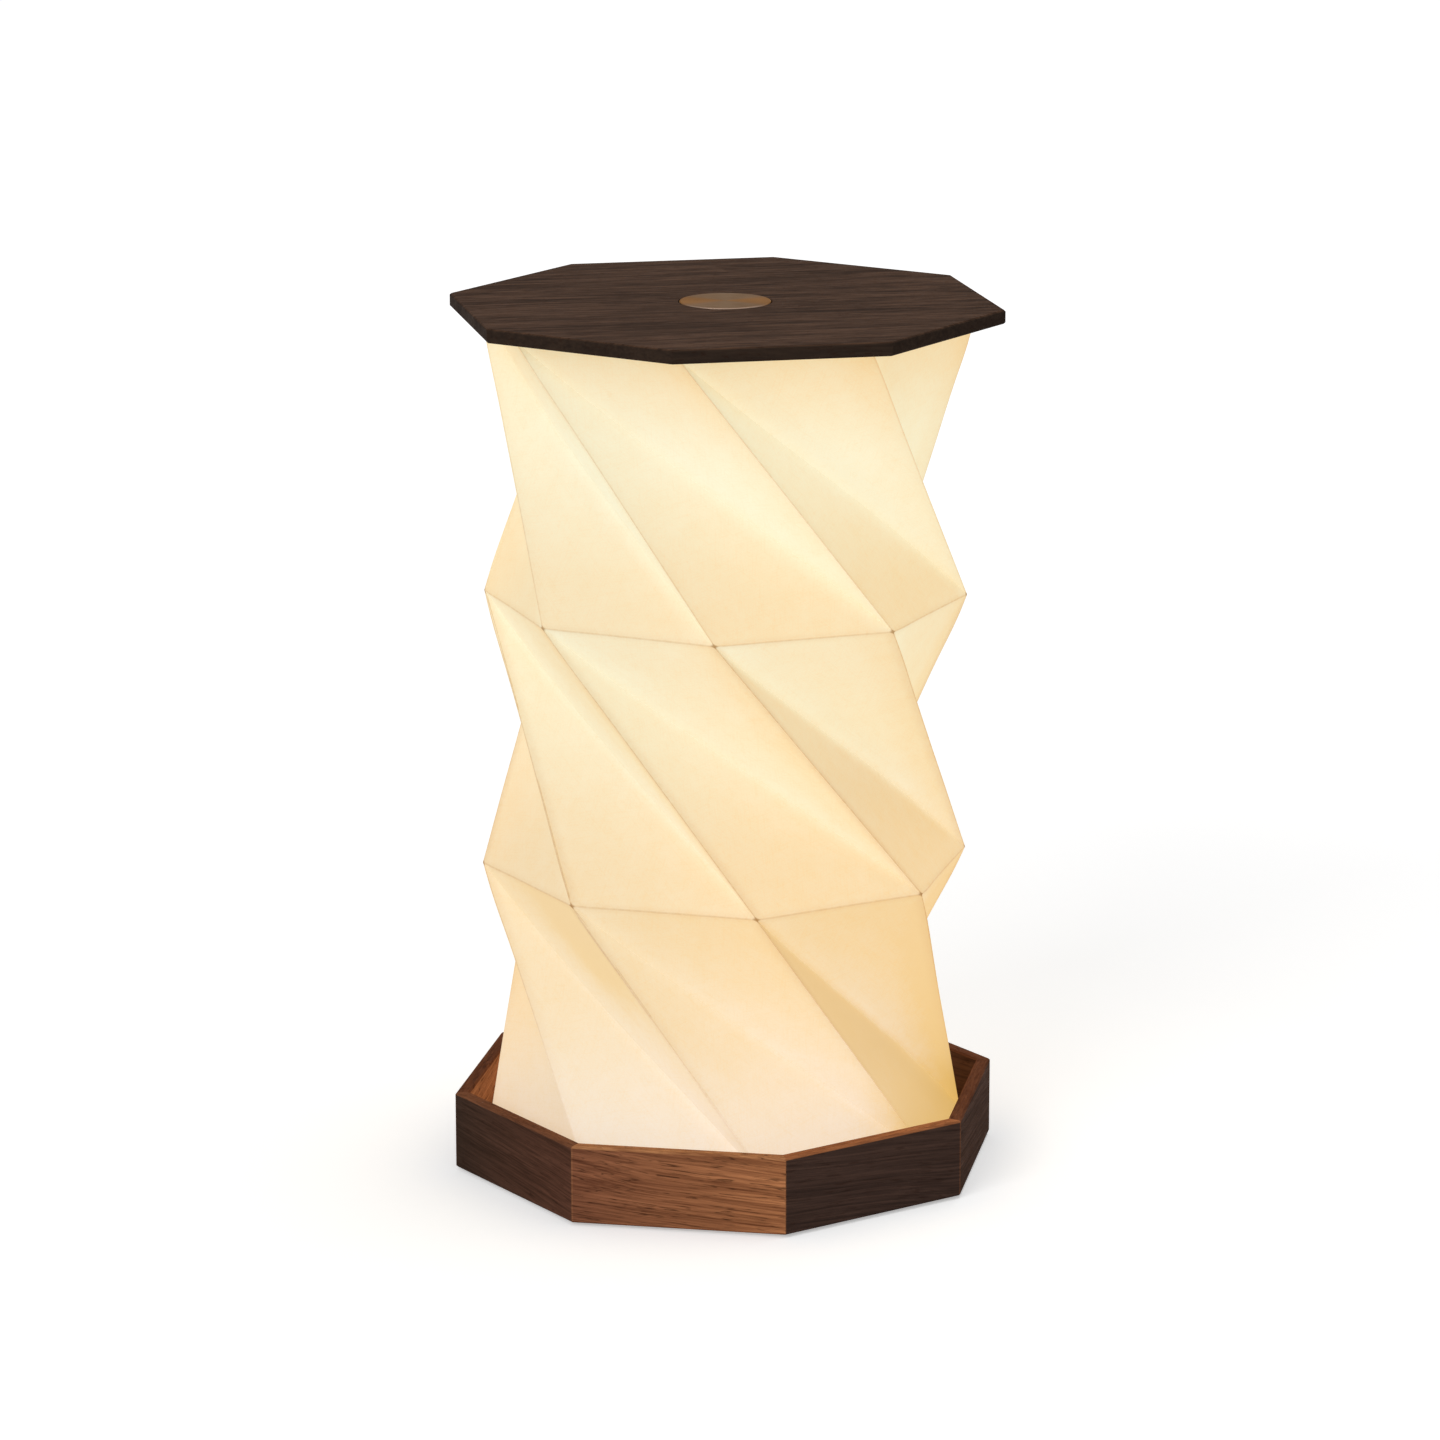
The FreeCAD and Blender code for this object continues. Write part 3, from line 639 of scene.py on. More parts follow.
shank_length = calc(screw_tree, "SUBTRACT", screw_in["Length"], screw_head)
screw_shank = cone(screw_tree, cover_shank_facets, shank_radius, shank_tip, shank_length)
shank_up = raised(screw_tree, screw_shank, screw_head)
screw_placed = raised(screw_tree, together(screw_tree, screw_cut, shank_up), screw_in["Face Height"])
screw_ring = ring_of(
    screw_tree, screw_in["Count"], screw_in["Circle"], screw_in["First Angle"], screw_placed
)
end_tree(screw_tree, screw_ring, plated_steel)
cross_screws = grown("cross_screws", screw_tree, screw_keys)
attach(cross_screws, "tray")
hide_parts("cover_screws")

# Cell and boards in the floor's pocket: a wrapped flat cell, a green board with its parts
# and the socket's black insulator. They are held by the cover and the pocket's walls.
# The switch under the lid has the same green board and black plastic.
cell_wrap = mottled_finish(
    "cell wrap", light=(176, 178, 182), deep=(160, 162, 168), grain=400.0, roughness=(0.3, 0.45), relief=0.1
)
board_green = mottled_finish(
    "board lacquer", light=(34, 108, 66), deep=(24, 88, 52), grain=1200.0, roughness=(0.3, 0.4), relief=0.1
)
moulded_black = mottled_finish(
    "moulded black plastic",
    light=(42, 42, 43),
    deep=(30, 30, 31),
    grain=2600.0,
    roughness=(0.5, 0.65),
    relief=0.25,
)
dress(cell_wrap, "battery_cell")
dress(board_green, "charge_board", "switch_board")
dress(moulded_black, "board_parts", "usb_insulator", "switch_cup", "switch_body", "switch_header")
dress(moulded_black, "button_stem", "switch_plunger")

# Light engine: an aluminium heat plate, a white board with twelve chips and an opal cap.
# It is screwed to the middle of the floor, under the shade, and glows warm.
cap_glow = paint(255, 214, 150)
heat_plate = mottled_finish(
    "aluminium heat plate",
    light=(208, 208, 210),
    deep=(186, 186, 190),
    grain=1500.0,
    roughness=(0.3, 0.45),
    relief=0.15,
    fixed={"Metallic": 1.0},
)
white_board = mottled_finish(
    "white board lacquer",
    light=(236, 236, 232),
    deep=(224, 224, 220),
    grain=1200.0,
    roughness=(0.3, 0.4),
    relief=0.1,
)
light_chip = mottled_finish(
    "light chip",
    light=(250, 220, 140),
    deep=(240, 204, 118),
    grain=900.0,
    roughness=(0.2, 0.3),
    relief=0.1,
    fixed={"Emission Color": cap_glow, "Emission Strength": 1.5},
)
opal_cap = mottled_finish(
    "opal cap",
    light=(244, 240, 228),
    deep=(236, 230, 214),
    grain=700.0,
    roughness=(0.35, 0.5),
    relief=0.1,
    fixed={"Emission Color": cap_glow, "Emission Strength": 1.0},
)
dress(heat_plate, "light_plate")
dress(white_board, "light_board")
dress(light_chip, "light_chips")
dress(opal_cap, "diffuser_cap")

# Paper shade: one sheet of stiff fibrous paper, lit from inside, creased into three tiers that twist one way.
# Each upper corner's ridge runs down to the lower corner one twist on, with a softer valley beside it.
# The ends, clamped under rings, stay with lid and tray as collars; on the real lamp the stretch between folds
# flat.
shade_sides = 8
shade_corner = 0.0620
shade_upper_waist = 0.0014
shade_lower_waist = 0.0004
shade_top = 0.2174
shade_upper_tier = 0.0702
shade_middle_tier = 0.0681
shade_lower_tier = 0.0710
shade_lid_turn_deg = -135.0
shade_upper_twist_deg = 52.8
shade_middle_twist_deg = 54.6
shade_lower_twist_deg = 50.1
shade_head_lip = 0.0125
shade_foot_lip = 0.0125
shade_paper_thickness = 0.0004
shade_divisions = 24
shade_bands = 5
shade_rows = shade_divisions * shade_bands
shade_collar_rows = shade_divisions + 1
shade_valley_ease = 0.0022
shade_valley_reach = 0.17
shade_ripple = 0.0005
shade_ripple_scale = 28.0
shade_ripple_detail = 1.0
shade_seed = 3.0
shade_sharp_deg = 28.0
shade_tree = bpy.data.node_groups.new("folded shade", "GeometryNodeTree")
shade_sizes = [
    ("Sides", "Int", shade_sides),
    ("Corner Radius", "Float", shade_corner),
    ("Upper Waist", "Float", shade_upper_waist),
    ("Lower Waist", "Float", shade_lower_waist),
    ("Top", "Float", shade_top),
    ("Upper Tier", "Float", shade_upper_tier),
    ("Middle Tier", "Float", shade_middle_tier),
    ("Lower Tier", "Float", shade_lower_tier),
    ("Lid Turn", "Float", math.radians(shade_lid_turn_deg)),
    ("Upper Twist", "Float", math.radians(shade_upper_twist_deg)),
    ("Middle Twist", "Float", math.radians(shade_middle_twist_deg)),
    ("Lower Twist", "Float", math.radians(shade_lower_twist_deg)),
    ("Head Lip", "Float", shade_head_lip),
    ("Foot Lip", "Float", shade_foot_lip),
    ("Divisions", "Int", shade_divisions),
    ("First Row", "Int", 0),
    ("Row Count", "Int", shade_rows),
    ("Valley Ease", "Float", shade_valley_ease),
    ("Valley Reach", "Float", shade_valley_reach),
    ("Ripple", "Float", shade_ripple),
    ("Seed", "Float", shade_seed),
]
shade_keys, given = size_inputs(shade_tree, shade_sizes)
fold = partial(calc, shade_tree)


def pick(index, values):
    """The value for a ring, counted from the head."""
    node = add_node(shade_tree, "GeometryNodeIndexSwitch", data_type="FLOAT")
    while len(node.index_switch_items) < len(values):
        node.index_switch_items.new()
    for place, value in enumerate([index, *values]):
        shade_tree.links.new(value, node.inputs[place])
    return node.outputs[0]


def corner_point(radius, angle, height):
    """A corner of a ring, its angle counted from the front towards the right."""
    x = fold("MULTIPLY", radius, fold("SINE", angle))
    y = fold("MULTIPLY", fold("MULTIPLY", radius, fold("COSINE", angle)), -1.0)
    return add_node(shade_tree, "ShaderNodeCombineXYZ", {0: x, 1: y, 2: height}).outputs[0]


def weigh(vector, share):
    """A vector times a share."""
    feeds = {0: vector, "Scale": share}
    return add_node(shade_tree, "ShaderNodeVectorMath", feeds, operation="SCALE").outputs[0]


def arch(share):
    """0 at both ends of a share and 1 in the middle."""
    return fold("MULTIPLY", fold("MULTIPLY", share, fold("SUBTRACT", 1.0, share)), 4.0)


sides_in = given["Sides"]
divisions_in = given["Divisions"]
rows_in = given["Row Count"]
columns = fold("ADD", fold("MULTIPLY", sides_in, divisions_in), 1.0)
rows = fold("ADD", rows_in, 1.0)
bands_long = fold("DIVIDE", rows_in, divisions_in)
sheet_grid = {"Size X": sides_in, "Size Y": bands_long, "Vertices X": columns, "Vertices Y": rows}
sheet = add_node(shade_tree, "GeometryNodeMeshGrid", sheet_grid).outputs["Mesh"]
flat_spot = add_node(shade_tree, "GeometryNodeInputPosition").outputs[0]
flat_place = add_node(shade_tree, "ShaderNodeSeparateXYZ", {0: flat_spot}).outputs
round_count = fold("ADD", flat_place[0], fold("MULTIPLY", sides_in, 0.5))
middle_row = fold("MULTIPLY_ADD", rows_in, 0.5, given["First Row"])
down_count = fold("SUBTRACT", fold("DIVIDE", middle_row, divisions_in), flat_place[1])
fold_map = add_node(shade_tree, "ShaderNodeCombineXYZ", {0: round_count, 1: down_count}).outputs[0]
mapped = add_node(
    shade_tree,
    "GeometryNodeStoreNamedAttribute",
    {"Geometry": sheet, "Name": "fold", "Value": fold_map},
    data_type="FLOAT2",
    domain="CORNER",
).outputs[0]
side = fold("MINIMUM", fold("FLOOR", round_count), fold("SUBTRACT", sides_in, 1.0))
band = fold("MINIMUM", fold("FLOOR", down_count), shade_bands - 1.0)
across = fold("SUBTRACT", round_count, side)
down = fold("SUBTRACT", down_count, band)

radius_in = given["Corner Radius"]
upper_radius = fold("SUBTRACT", radius_in, given["Upper Waist"])
lower_radius = fold("SUBTRACT", radius_in, given["Lower Waist"])
head_radius = fold("SUBTRACT", radius_in, given["Head Lip"])
bottom_radius = fold("SUBTRACT", radius_in, given["Foot Lip"])
upper_height = fold("SUBTRACT", given["Top"], given["Upper Tier"])
lower_height = fold("SUBTRACT", upper_height, given["Middle Tier"])
bottom_height = fold("SUBTRACT", lower_height, given["Lower Tier"])
upper_turn = fold("ADD", given["Lid Turn"], given["Upper Twist"])
lower_turn = fold("ADD", upper_turn, given["Middle Twist"])
foot_turn = fold("ADD", lower_turn, given["Lower Twist"])
ring_radii = [head_radius, radius_in, upper_radius, lower_radius, radius_in, bottom_radius]
ring_heights = [given["Top"], given["Top"], upper_height, lower_height, bottom_height, bottom_height]
ring_turns = [given["Lid Turn"], given["Lid Turn"], upper_turn, lower_turn, foot_turn, foot_turn]
step = fold("DIVIDE", 2 * math.pi, sides_in)
corners = {}
for level, ring in (("upper", band), ("lower", fold("ADD", band, 1.0))):
    ring_radius = pick(ring, ring_radii)
    ring_height = pick(ring, ring_heights)
    first_turn = fold("ADD", pick(ring, ring_turns), fold("MULTIPLY", step, side))
    corners[level, "first"] = corner_point(ring_radius, first_turn, ring_height)
    corners[level, "next"] = corner_point(ring_radius, fold("ADD", first_turn, step), ring_height)
past_valley = fold("SUBTRACT", across, down)
shares = {
    ("upper", "first"): fold("SUBTRACT", 1.0, fold("MAXIMUM", across, down)),
    ("lower", "first"): fold("MAXIMUM", fold("MULTIPLY", past_valley, -1.0), 0.0),
    ("upper", "next"): fold("MAXIMUM", past_valley, 0.0),
    ("lower", "next"): fold("MINIMUM", across, down),
}
folded = None
for corner, share in shares.items():
    part = weigh(corners[corner], share)
    folded = part if folded is None else join(shade_tree, folded, part)

# The valley is pressed less hard than the ridge, so it is rounded outwards between its two ends,
# and the panels ripple a little.
middle = fold("MULTIPLY", fold("ADD", across, down), 0.5)
wide = fold("DIVIDE", past_valley, given["Valley Reach"])
hollow = fold("EXPONENT", fold("MULTIPLY", fold("MULTIPLY", wide, wide), -1.0))
ease = fold("MULTIPLY", fold("MULTIPLY", hollow, arch(middle)), given["Valley Ease"])
wave = noise(shade_tree, folded, shade_ripple_scale, shade_ripple_detail, 0.5, given["Seed"])
swing = fold("MULTIPLY", fold("SUBTRACT", wave, 0.5), arch(down))
wavy = fold("MULTIPLY", swing, given["Ripple"])
tier_only = fold("MINIMUM", fold("MINIMUM", band, fold("SUBTRACT", shade_bands - 1.0, band)), 1.0)
lift = fold("MULTIPLY", fold("ADD", ease, wavy), tier_only)
level_spot = stretch(shade_tree, folded, 1.0, 1.0, 0.0)
outward = add_node(shade_tree, "ShaderNodeVectorMath", {0: level_spot}, operation="NORMALIZE").outputs[0]
shaped = join(shade_tree, folded, weigh(outward, lift))
moved = add_node(shade_tree, "GeometryNodeSetPosition", {"Geometry": mapped, "Position": shaped}).outputs[0]
closed = welded(shade_tree, moved)
cut = add_node(shade_tree, "GeometryNodeTriangulate", {0: closed}, quad_method="FIXED_ALTERNATE").outputs[0]
smooth_all = {"Geometry": cut, "Shade Smooth": True}
smooth = add_node(shade_tree, "GeometryNodeSetShadeSmooth", smooth_all, domain="FACE").outputs[0]

# The paper's light: each panel's tone runs from amber to pale, and values in threes are for the upper,
# middle and lower tier. The lower panel of a strip lies under its valley, the upper panel over it.
paper_fixed = {"Roughness": 0.85, "Specular IOR Level": 0.15, "Emission Strength": 1.0}
paper_white = (0.40, 0.385, 0.35, 1.0)
glow_cream = (0.617, 0.59, 0.40, 1.0)
glow_blush = (0.652, 0.560, 0.488, 1.0)
glow_amber = (0.585, 0.375, 0.110, 1.0)
glow_warm = (0.075, 0.032, 0.0, 1.0)
glow_shade = (0.88, 0.87, 0.90, 1.0)
crease_line_and_shade_brown = (0.66, 0.50, 0.35, 1.0)
pinch_brown = (0.58, 0.46, 0.34, 1.0)
lower_start = (0.78, 0.60, 0.33)
lower_gain = (-0.42, -0.37, 0.48)
lower_span = (0.35, 0.95)
upper_start = (0.36, 0.53, 0.15)
upper_gain = (0.55, 0.0, 0.62)
upper_gain_end = (0.46, 1.0, 0.95)
valley_painted_highlight = (0.10, 0.40, 0.23)
valley_fade = 0.17
valley_foot_share = 0.45
ridge_side_painted_shade = (-0.18, -0.24, -0.07)
ridge_side_painted_shade_span = (0.72, 0.98)
valley_under = (-0.15, -0.09, -0.07)
valley_over = (0.11, 0.07, 0.06)
fibre_squeeze = (1.0, 1.0, 1.7)
fibre_fine_scale = 1500.0
fibre_fine_weight = 0.24
fibre_cloud_scale = 160.0
fibre_cloud_weight = 0.26
fibre_detail = 3.0
fibre_fine_crispness = 0.6
fibre_cloud_crispness = 0.55
fibre_lays_deg = (12.0, 58.0, 121.0)
fibre_strand = 0.09
strand_draw = (0.10, 1.5, 0.0)
strand_width = 0.035
strip_width_mm = 47.45
strip_height_mm = 80.5
unlit_x = (0.036, 0.060)
unlit_rows = (3.0, 3.8)
unlit_loss = 0.85
right_lower_facing = (0.75, 0.98)
right_lower_down = (0.60, 0.95, 1.0, 0.15)
right_lower_loss = (-0.12, 0.13, 0.40)
right_lower_shade = (0.0, 0.7, 1.0)
left_lower_facing = (-0.70, -0.55)
left_lower_share = (0.0, 0.5, 1.0)
left_lower_loss = (0.0, 0.0, 0.24)
left_lower_shade = 0.6
right_upper_facing = (0.0, 0.6)
right_upper_gain = (0.08, 0.10, 0.0)
left_upper_x = (-0.026, -0.008)
left_upper_y = (-0.032, -0.018)
left_upper_across = (0.3, 0.8)
left_upper_down = (0.2, 0.75)
left_upper_loss = (0.0, 0.12, 0.42)
blush_rows = (2.4, 3.9)
warm_x = (-0.028, 0.030)
warm_y = (-0.035, 0.0)
crease_wear_scale = 700.0
crease_wear_span = (0.35, 0.65, 0.70, 1.0)
crease_foot_rows = (3.15, 3.8, 1.0, 0.3)
ridge_span_mm = 43.3
ridge_press = (0.46, 0.66, 0.64)
ridge_press_mm = (0.06, 0.60)
ridge_shade = (0.08, 0.25, 0.20)
ridge_shade_mm = (0.0, 3.2)
ring_span_mm = 81.5
ring_press = 0.46
ring_press_mm = (0.05, 0.55)
ring_shade = 0.13
ring_shade_mm = (0.0, 2.0)
pinch_mm = (0.3, 1.3)
paper_relief_weight = 0.5
paper_relief = 0.2
paper_relief_depth = 0.0003
paper, paper_tree, paper_shader = new_finish("lit folded paper", paper_fixed)
end_tree(shade_tree, smooth, paper)
tally = partial(calc, paper_tree)
ramp = partial(remap, paper_tree)
tinge = partial(blend_colours, paper_tree)


def fall(value, low, high):
    """1 up to the low end of a span, falling softly to 0 at its high end."""
    return ramp(value, low, high, 1.0, 0.0, smooth=True)


def times(*values):
    """The product of sockets and numbers on the paper."""
    product = values[0]
    for value in values[1:]:
        product = tally("MULTIPLY", product, value)
    return product


fold_uv = add_node(paper_tree, "ShaderNodeUVMap", uv_map="fold").outputs[0]
fold_parts = add_node(paper_tree, "ShaderNodeSeparateXYZ", {0: fold_uv}).outputs
paper_side = tally("FLOOR", fold_parts[0])
paper_row = fold_parts[1]
paper_tier = tally("FLOOR", paper_row)
paper_across = tally("FRACT", fold_parts[0])
paper_down = tally("FRACT", paper_row)
paper_place = own_place(paper_tree)
paper_spot = add_node(paper_tree, "ShaderNodeSeparateXYZ", {0: paper_place}).outputs
paper_x = paper_spot[0]
paper_y = paper_spot[1]


def by_tier(upper, middle, lower):
    """A value for each of the three tiers."""
    first = ramp(paper_tier, 1.0, 2.0, upper, middle)
    return tally("ADD", first, ramp(paper_tier, 2.0, 3.0, 0.0, lower - middle))


valley_side = tally("SUBTRACT", paper_across, paper_down)
past_fold = tally("MAXIMUM", valley_side, 0.0)
valley_glow = tally("EXPONENT", tally("MULTIPLY", past_fold, -1.0 / valley_fade))
lower_slide = ramp(paper_down, *lower_span, smooth=True)
lower_panel = tally("ADD", by_tier(*lower_start), times(by_tier(*lower_gain), lower_slide))
upper_slide = ramp(tally("DIVIDE", paper_down, by_tier(*upper_gain_end)), 0.0, 1.0, smooth=True)
upper_panel = by_tier(*upper_start)
# Painted highlight just past each valley, and painted shade on the upper panel next to the following ridge.
for step_up in (
    times(by_tier(*upper_gain), upper_slide),
    times(by_tier(*valley_painted_highlight), valley_glow, ramp(paper_down, 0.0, 1.0, 1.0, valley_foot_share)),
    times(by_tier(*ridge_side_painted_shade), ramp(paper_across, *ridge_side_painted_shade_span, smooth=True)),
):
    upper_panel = tally("ADD", upper_panel, step_up)
upper_share = ramp(valley_side, by_tier(*valley_under), by_tier(*valley_over), smooth=True)
lower_share = tally("SUBTRACT", 1.0, upper_share)
panel_feeds = {0: upper_share, 2: lower_panel, 3: upper_panel}
tone = add_node(paper_tree, "ShaderNodeMix", panel_feeds).outputs[0]

# Fibres: a fine grain, soft clouds, and thin strands that lie in three directions.
fibre_place = stretch(paper_tree, paper_place, *fibre_squeeze)
fibre_fine = noise(paper_tree, fibre_place, fibre_fine_scale, fibre_detail, fibre_fine_crispness)
fibre_cloud = noise(paper_tree, paper_place, fibre_cloud_scale, fibre_detail, fibre_cloud_crispness)
for fibre, weight in ((fibre_cloud, fibre_cloud_weight), (fibre_fine, fibre_fine_weight)):
    tone = tally("ADD", tone, times(tally("SUBTRACT", fibre, 0.5), weight))
sheet_mm = stretch(paper_tree, fold_uv, strip_width_mm, strip_height_mm, 0.0)
for lay_deg in fibre_lays_deg:
    lay = {"Vector": sheet_mm, "Rotation": (0.0, 0.0, math.radians(lay_deg))}
    laid = add_node(paper_tree, "ShaderNodeMapping", lay).outputs[0]
    strand = noise(paper_tree, stretch(paper_tree, laid, *strand_draw), 1.0, 1.0, 0.5, lay_deg)
    strand_reach = tally("ABSOLUTE", tally("SUBTRACT", strand, 0.5))
    tone = tally("SUBTRACT", tone, ramp(strand_reach, 0.0, strand_width, fibre_strand, 0.0, smooth=True))

# Painted shade and light: side-facing panels are darker low down, right-facing upper panels a little
# brighter.
ring_turns_deg = [shade_lid_turn_deg]
for twist_deg in (shade_upper_twist_deg, shade_middle_twist_deg, shade_lower_twist_deg):
    ring_turns_deg.append(ring_turns_deg[-1] + twist_deg)


def turned_right(ring_below):
    """The sine of the way a side's panel faces: 0 to the front, 1 to the right."""
    turn_deg = by_tier(*ring_turns_deg[ring_below : ring_below + 3])
    side_middle = tally("ADD", paper_side, 0.5)
    side_deg = tally("MULTIPLY_ADD", side_middle, 360 / shade_sides, turn_deg)
    return tally("SINE", tally("RADIANS", side_deg))


facing_right = turned_right(1)
right_lower_painted_shade = times(ramp(facing_right, *right_lower_facing), lower_share, ramp(paper_down, *right_lower_down))
left_lower_painted_shade = times(ramp(facing_right, *left_lower_facing, 1.0, 0.0), lower_share, by_tier(*left_lower_share))
right_upper_painted_light = times(ramp(turned_right(0), *right_upper_facing), upper_share, by_tier(*right_upper_gain))
# Painted shade at the front left of the middle and lower tiers, and at the right of the lower tier.
left_upper_painted_shade = times(
    fall(paper_x, *left_upper_x),
    fall(paper_y, *left_upper_y),
    ramp(paper_across, *left_upper_across, smooth=True),
    fall(paper_down, *left_upper_down),
    upper_share,
    by_tier(*left_upper_loss),
)
unlit = times(ramp(paper_x, *unlit_x, smooth=True), ramp(paper_row, *unlit_rows))
tone = tally("ADD", tone, right_upper_painted_light)
for darker in (
    times(right_lower_painted_shade, by_tier(*right_lower_loss)),
    times(left_lower_painted_shade, by_tier(*left_lower_loss)),
    times(unlit, unlit_loss),
    left_upper_painted_shade,
):
    tone = tally("SUBTRACT", tone, darker)
glow_pale = tinge(ramp(paper_row, *blush_rows), glow_cream, glow_blush)
glow_even = tinge(tone, glow_amber, glow_pale)
# The glow is painted warmer towards the right and the back.
warm_share = tally("MAXIMUM", ramp(paper_x, *warm_x, smooth=True), ramp(paper_y, *warm_y, smooth=True))
glow = tinge(warm_share, glow_even, glow_warm, "ADD")
for shade_share in (times(right_lower_painted_shade, by_tier(*right_lower_shade)), times(left_lower_painted_shade, left_lower_shade)):
    glow = tinge(shade_share, glow, glow_shade, "MULTIPLY")

# Creases: a thin worn line and a soft band of painted shade along ridges and rings, and a dark pinch where
# they meet.
ridge_reach = tally("MINIMUM", paper_across, tally("SUBTRACT", 1.0, paper_across))
ring_reach = tally("MINIMUM", paper_down, tally("SUBTRACT", 1.0, paper_down))
ridge_mm = tally("MULTIPLY", ridge_reach, ridge_span_mm)
ring_mm = tally("MULTIPLY", ring_reach, ring_span_mm)
crease = 0.0
for distance_mm, span_mm, strength in (
    (ridge_mm, ridge_press_mm, by_tier(*ridge_press)),
    (ridge_mm, ridge_shade_mm, by_tier(*ridge_shade)),
    (ring_mm, ring_press_mm, ring_press),
    (ring_mm, ring_shade_mm, ring_shade),
):
    crease = tally("MAXIMUM", crease, times(fall(distance_mm, *span_mm), strength))
crease_wear = ramp(noise(paper_tree, paper_place, crease_wear_scale), *crease_wear_span)
crease = times(crease, crease_wear, ramp(paper_row, *crease_foot_rows))
pinch = fall(tally("ADD", ridge_mm, ring_mm), *pinch_mm)
for colour, socket in ((glow, "Emission Color"), (paper_white, "Base Color")):
    colour = tinge(crease, colour, crease_line_and_shade_brown, "MULTIPLY")
    colour = tinge(pinch, colour, pinch_brown, "MULTIPLY")
    paper_tree.links.new(colour, paper_shader.inputs[socket])
paper_height = times(tally("ADD", fibre_fine, fibre_cloud), paper_relief_weight)
roughen(paper_tree, paper_shader, paper_height, paper_relief, paper_relief_depth)


def paper_wall(maker):
    """Gives the folded sheet its thickness, inwards."""
    wall = maker.modifiers.new("paper thickness", "SOLIDIFY")
    wall.thickness = shade_paper_thickness
    wall.offset = -1.0


def paper_length(name, first_row, row_count):
    """One length of the folded sheet, counted in rows from the head, with crisp creases and cut edges."""
    lengths = {"First Row": first_row, "Row Count": row_count}
    length = grown(name, shade_tree, shade_keys, paper_wall, lengths)
    length.data.set_sharp_from_angle(angle=math.radians(shade_sharp_deg))
    return length


head_collar = paper_length("head_collar", 0, shade_collar_rows)
shade_sheet = paper_length("shade_sheet", shade_collar_rows, shade_rows - 2 * shade_collar_rows)
foot_collar = paper_length("foot_collar", shade_rows - shade_collar_rows, shade_collar_rows)
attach(head_collar, "lid")
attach(shade_sheet, "shade")
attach(foot_collar, "tray")
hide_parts("paper_shade")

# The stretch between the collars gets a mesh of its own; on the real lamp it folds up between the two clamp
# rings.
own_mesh(shade_sheet)

# Lid: a thin eight-sided plate of oiled walnut with eased edges and a stepped hole for the push disc.
# The ring screwed up under it clamps the head of the shade. Its fine grain runs along one pair of its sides.
lid_grain_deg = 22.5
lid_top = 0.2210
lid_ease = 0.0004
lid_tones = ((88, 64, 49), (48, 36, 29))
lid_side_painted_shade = ((56, 44, 36), (42, 33, 28))
lid_pore = 0.45
lid_figure = (2.4, 0.62, 0.62)
lid_wander = 0.003
lid_board = 7.7


def lid_sides(tree, parts):
    """The narrow upright sides and the underside of the lid, painted darker as shade."""
    return remap(tree, parts[2], lid_top - lid_ease, lid_top - lid_ease / 4, 1.0, 0.0)


lid_walnut = wood_finish(
    "walnut lid",
    **walnut_oiled,
    tones=lid_tones,
    pore_amount=lid_pore,
    turn_deg=-lid_grain_deg,
    figure=lid_figure,
    wander=lid_wander,
    board=lid_board,
    other_faces=[(lid_sides, lid_side_painted_shade)],
)
dress(lid_walnut, "lid_plate")

# Push disc: a turned bronze disc, spun and lacquered, that sits just proud of the lid.
# Its flange is caught under the lid's lip, over the switch.
bronze_grey = (140, 119, 104)
bronze_painted_highlight = (143, 107, 77)
bronze_deep = (60, 44, 32)
bronze_deep_share = 0.25
bronze_fixed = {"Metallic": 1.0, "Anisotropic": 0.7, "Specular Tint": (0.45, 0.36, 0.28, 1.0)}
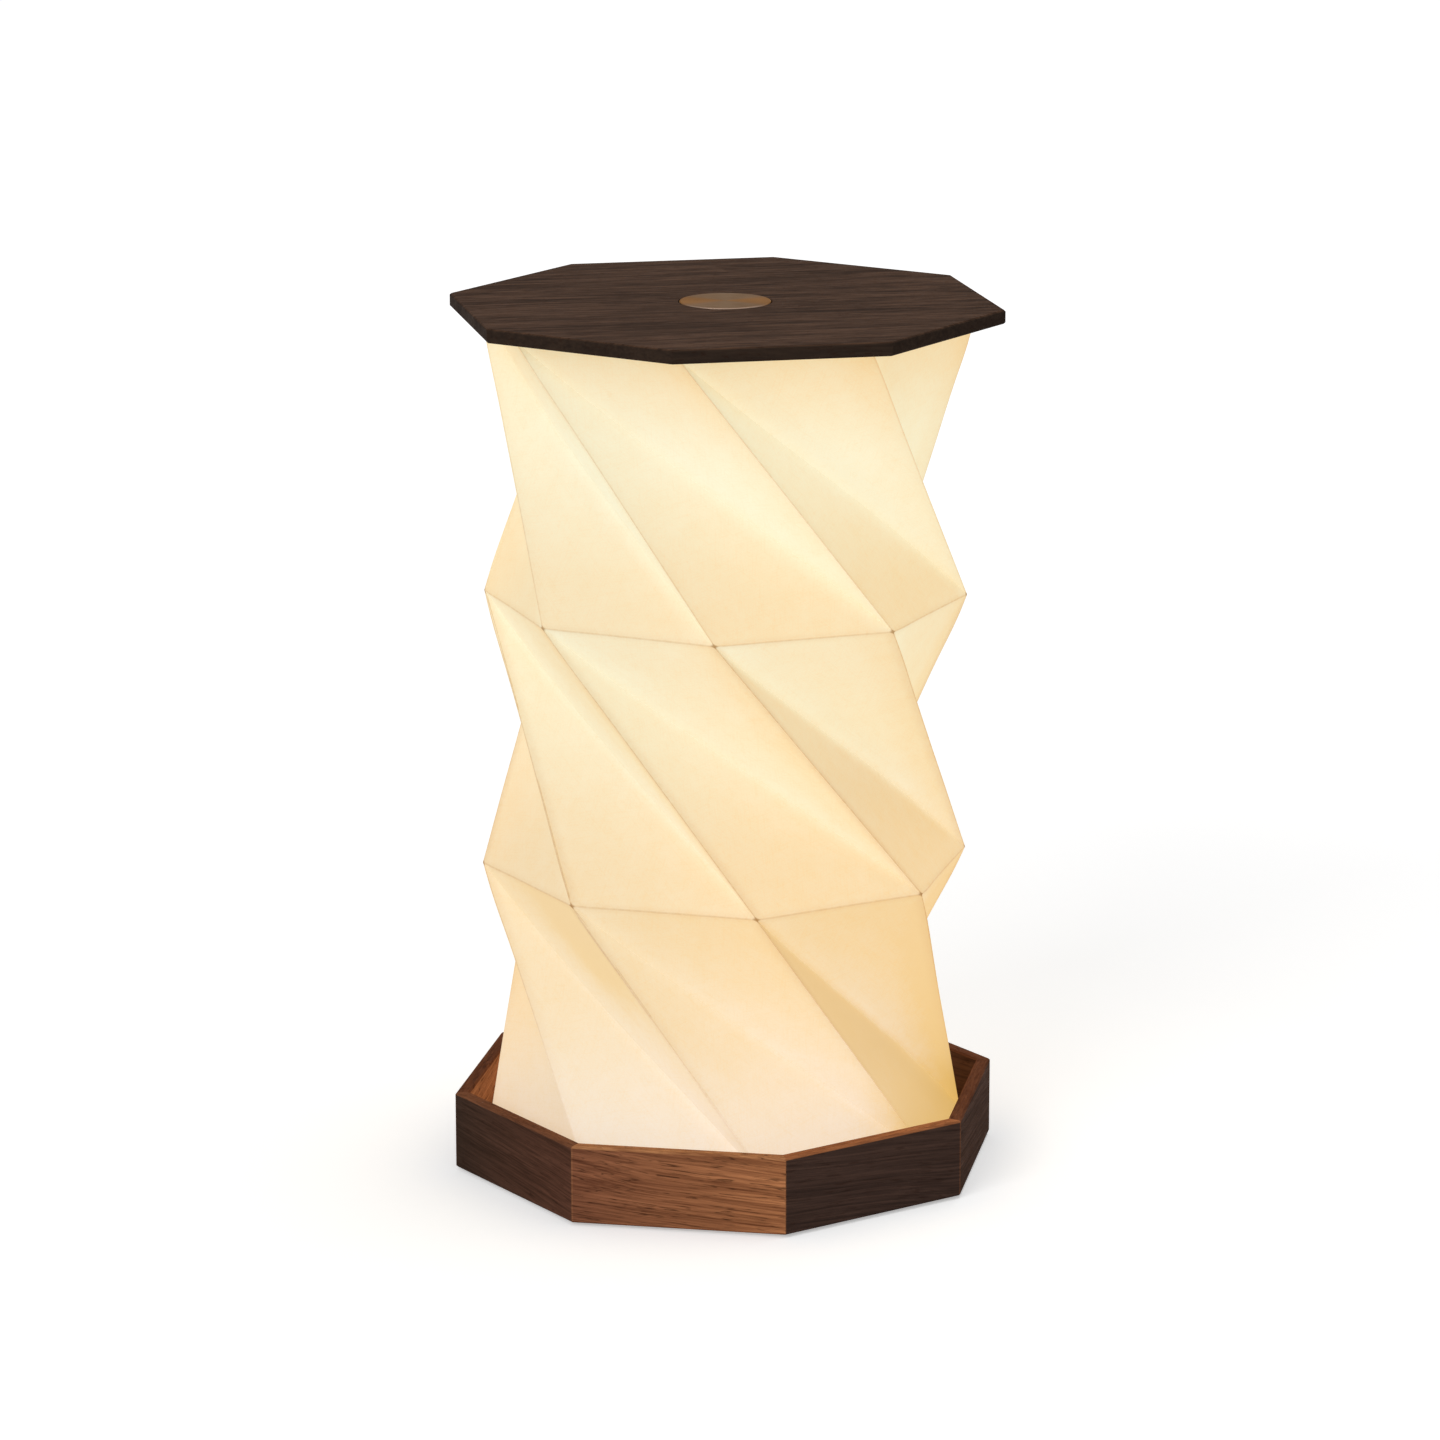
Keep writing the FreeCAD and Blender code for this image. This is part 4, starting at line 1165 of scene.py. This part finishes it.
# The two pale fans on the disc, to its left and right, are painted highlights.
disc_painted_highlight_deg = 10.0
disc_painted_highlight_span = (0.72, 0.99)
disc_marks_scale = 9000.0
disc_cloud_scale = 260.0
disc_marks_span = (0.7, 1.3)
disc_roughness = (0.3, 0.7, 0.30, 0.42)
disc_relief = 0.08
disc_relief_depth = 0.0001
bronze, bronze_tree, bronze_shader = new_finish("spun bronze", bronze_fixed)
disc_place = own_place(bronze_tree)
disc_parts = add_node(bronze_tree, "ShaderNodeSeparateXYZ", {0: disc_place}).outputs
disc_x_square = calc(bronze_tree, "MULTIPLY", disc_parts[0], disc_parts[0])
disc_y_square = calc(bronze_tree, "MULTIPLY", disc_parts[1], disc_parts[1])
disc_radius = calc(bronze_tree, "SQRT", calc(bronze_tree, "ADD", disc_x_square, disc_y_square))
disc_line = add_node(bronze_tree, "ShaderNodeCombineXYZ", {0: disc_radius}).outputs[0]
turning_marks = noise(bronze_tree, disc_line, disc_marks_scale)
disc_cloud = noise(bronze_tree, disc_place, disc_cloud_scale)
disc_turned = add_node(
    bronze_tree, "ShaderNodeSeparateXYZ", {0: own_place(bronze_tree, -disc_painted_highlight_deg)}
).outputs
disc_painted_highlight_share = calc(bronze_tree, "DIVIDE", calc(bronze_tree, "ABSOLUTE", disc_turned[0]), disc_radius)
disc_painted_highlight = remap(bronze_tree, disc_painted_highlight_share, *disc_painted_highlight_span, smooth=True)
disc_tint_and_highlight = blend_colours(bronze_tree, disc_painted_highlight, paint(*bronze_grey), paint(*bronze_painted_highlight))
disc_deep = blend_colours(bronze_tree, bronze_deep_share, disc_tint_and_highlight, paint(*bronze_deep))
disc_marks = remap(bronze_tree, calc(bronze_tree, "ADD", turning_marks, disc_cloud), *disc_marks_span)
disc_colour = blend_colours(bronze_tree, disc_marks, disc_tint_and_highlight, disc_deep)
disc_rough = remap(bronze_tree, turning_marks, *disc_roughness)
spin = add_node(bronze_tree, "ShaderNodeTangent", direction_type="RADIAL", axis="Z").outputs[0]
for socket, source in (("Base Color", disc_colour), ("Roughness", disc_rough), ("Tangent", spin)):
    bronze_tree.links.new(source, bronze_shader.inputs[socket])
roughen(bronze_tree, bronze_shader, turning_marks, disc_relief, disc_relief_depth)
dress(bronze, "button_disc")
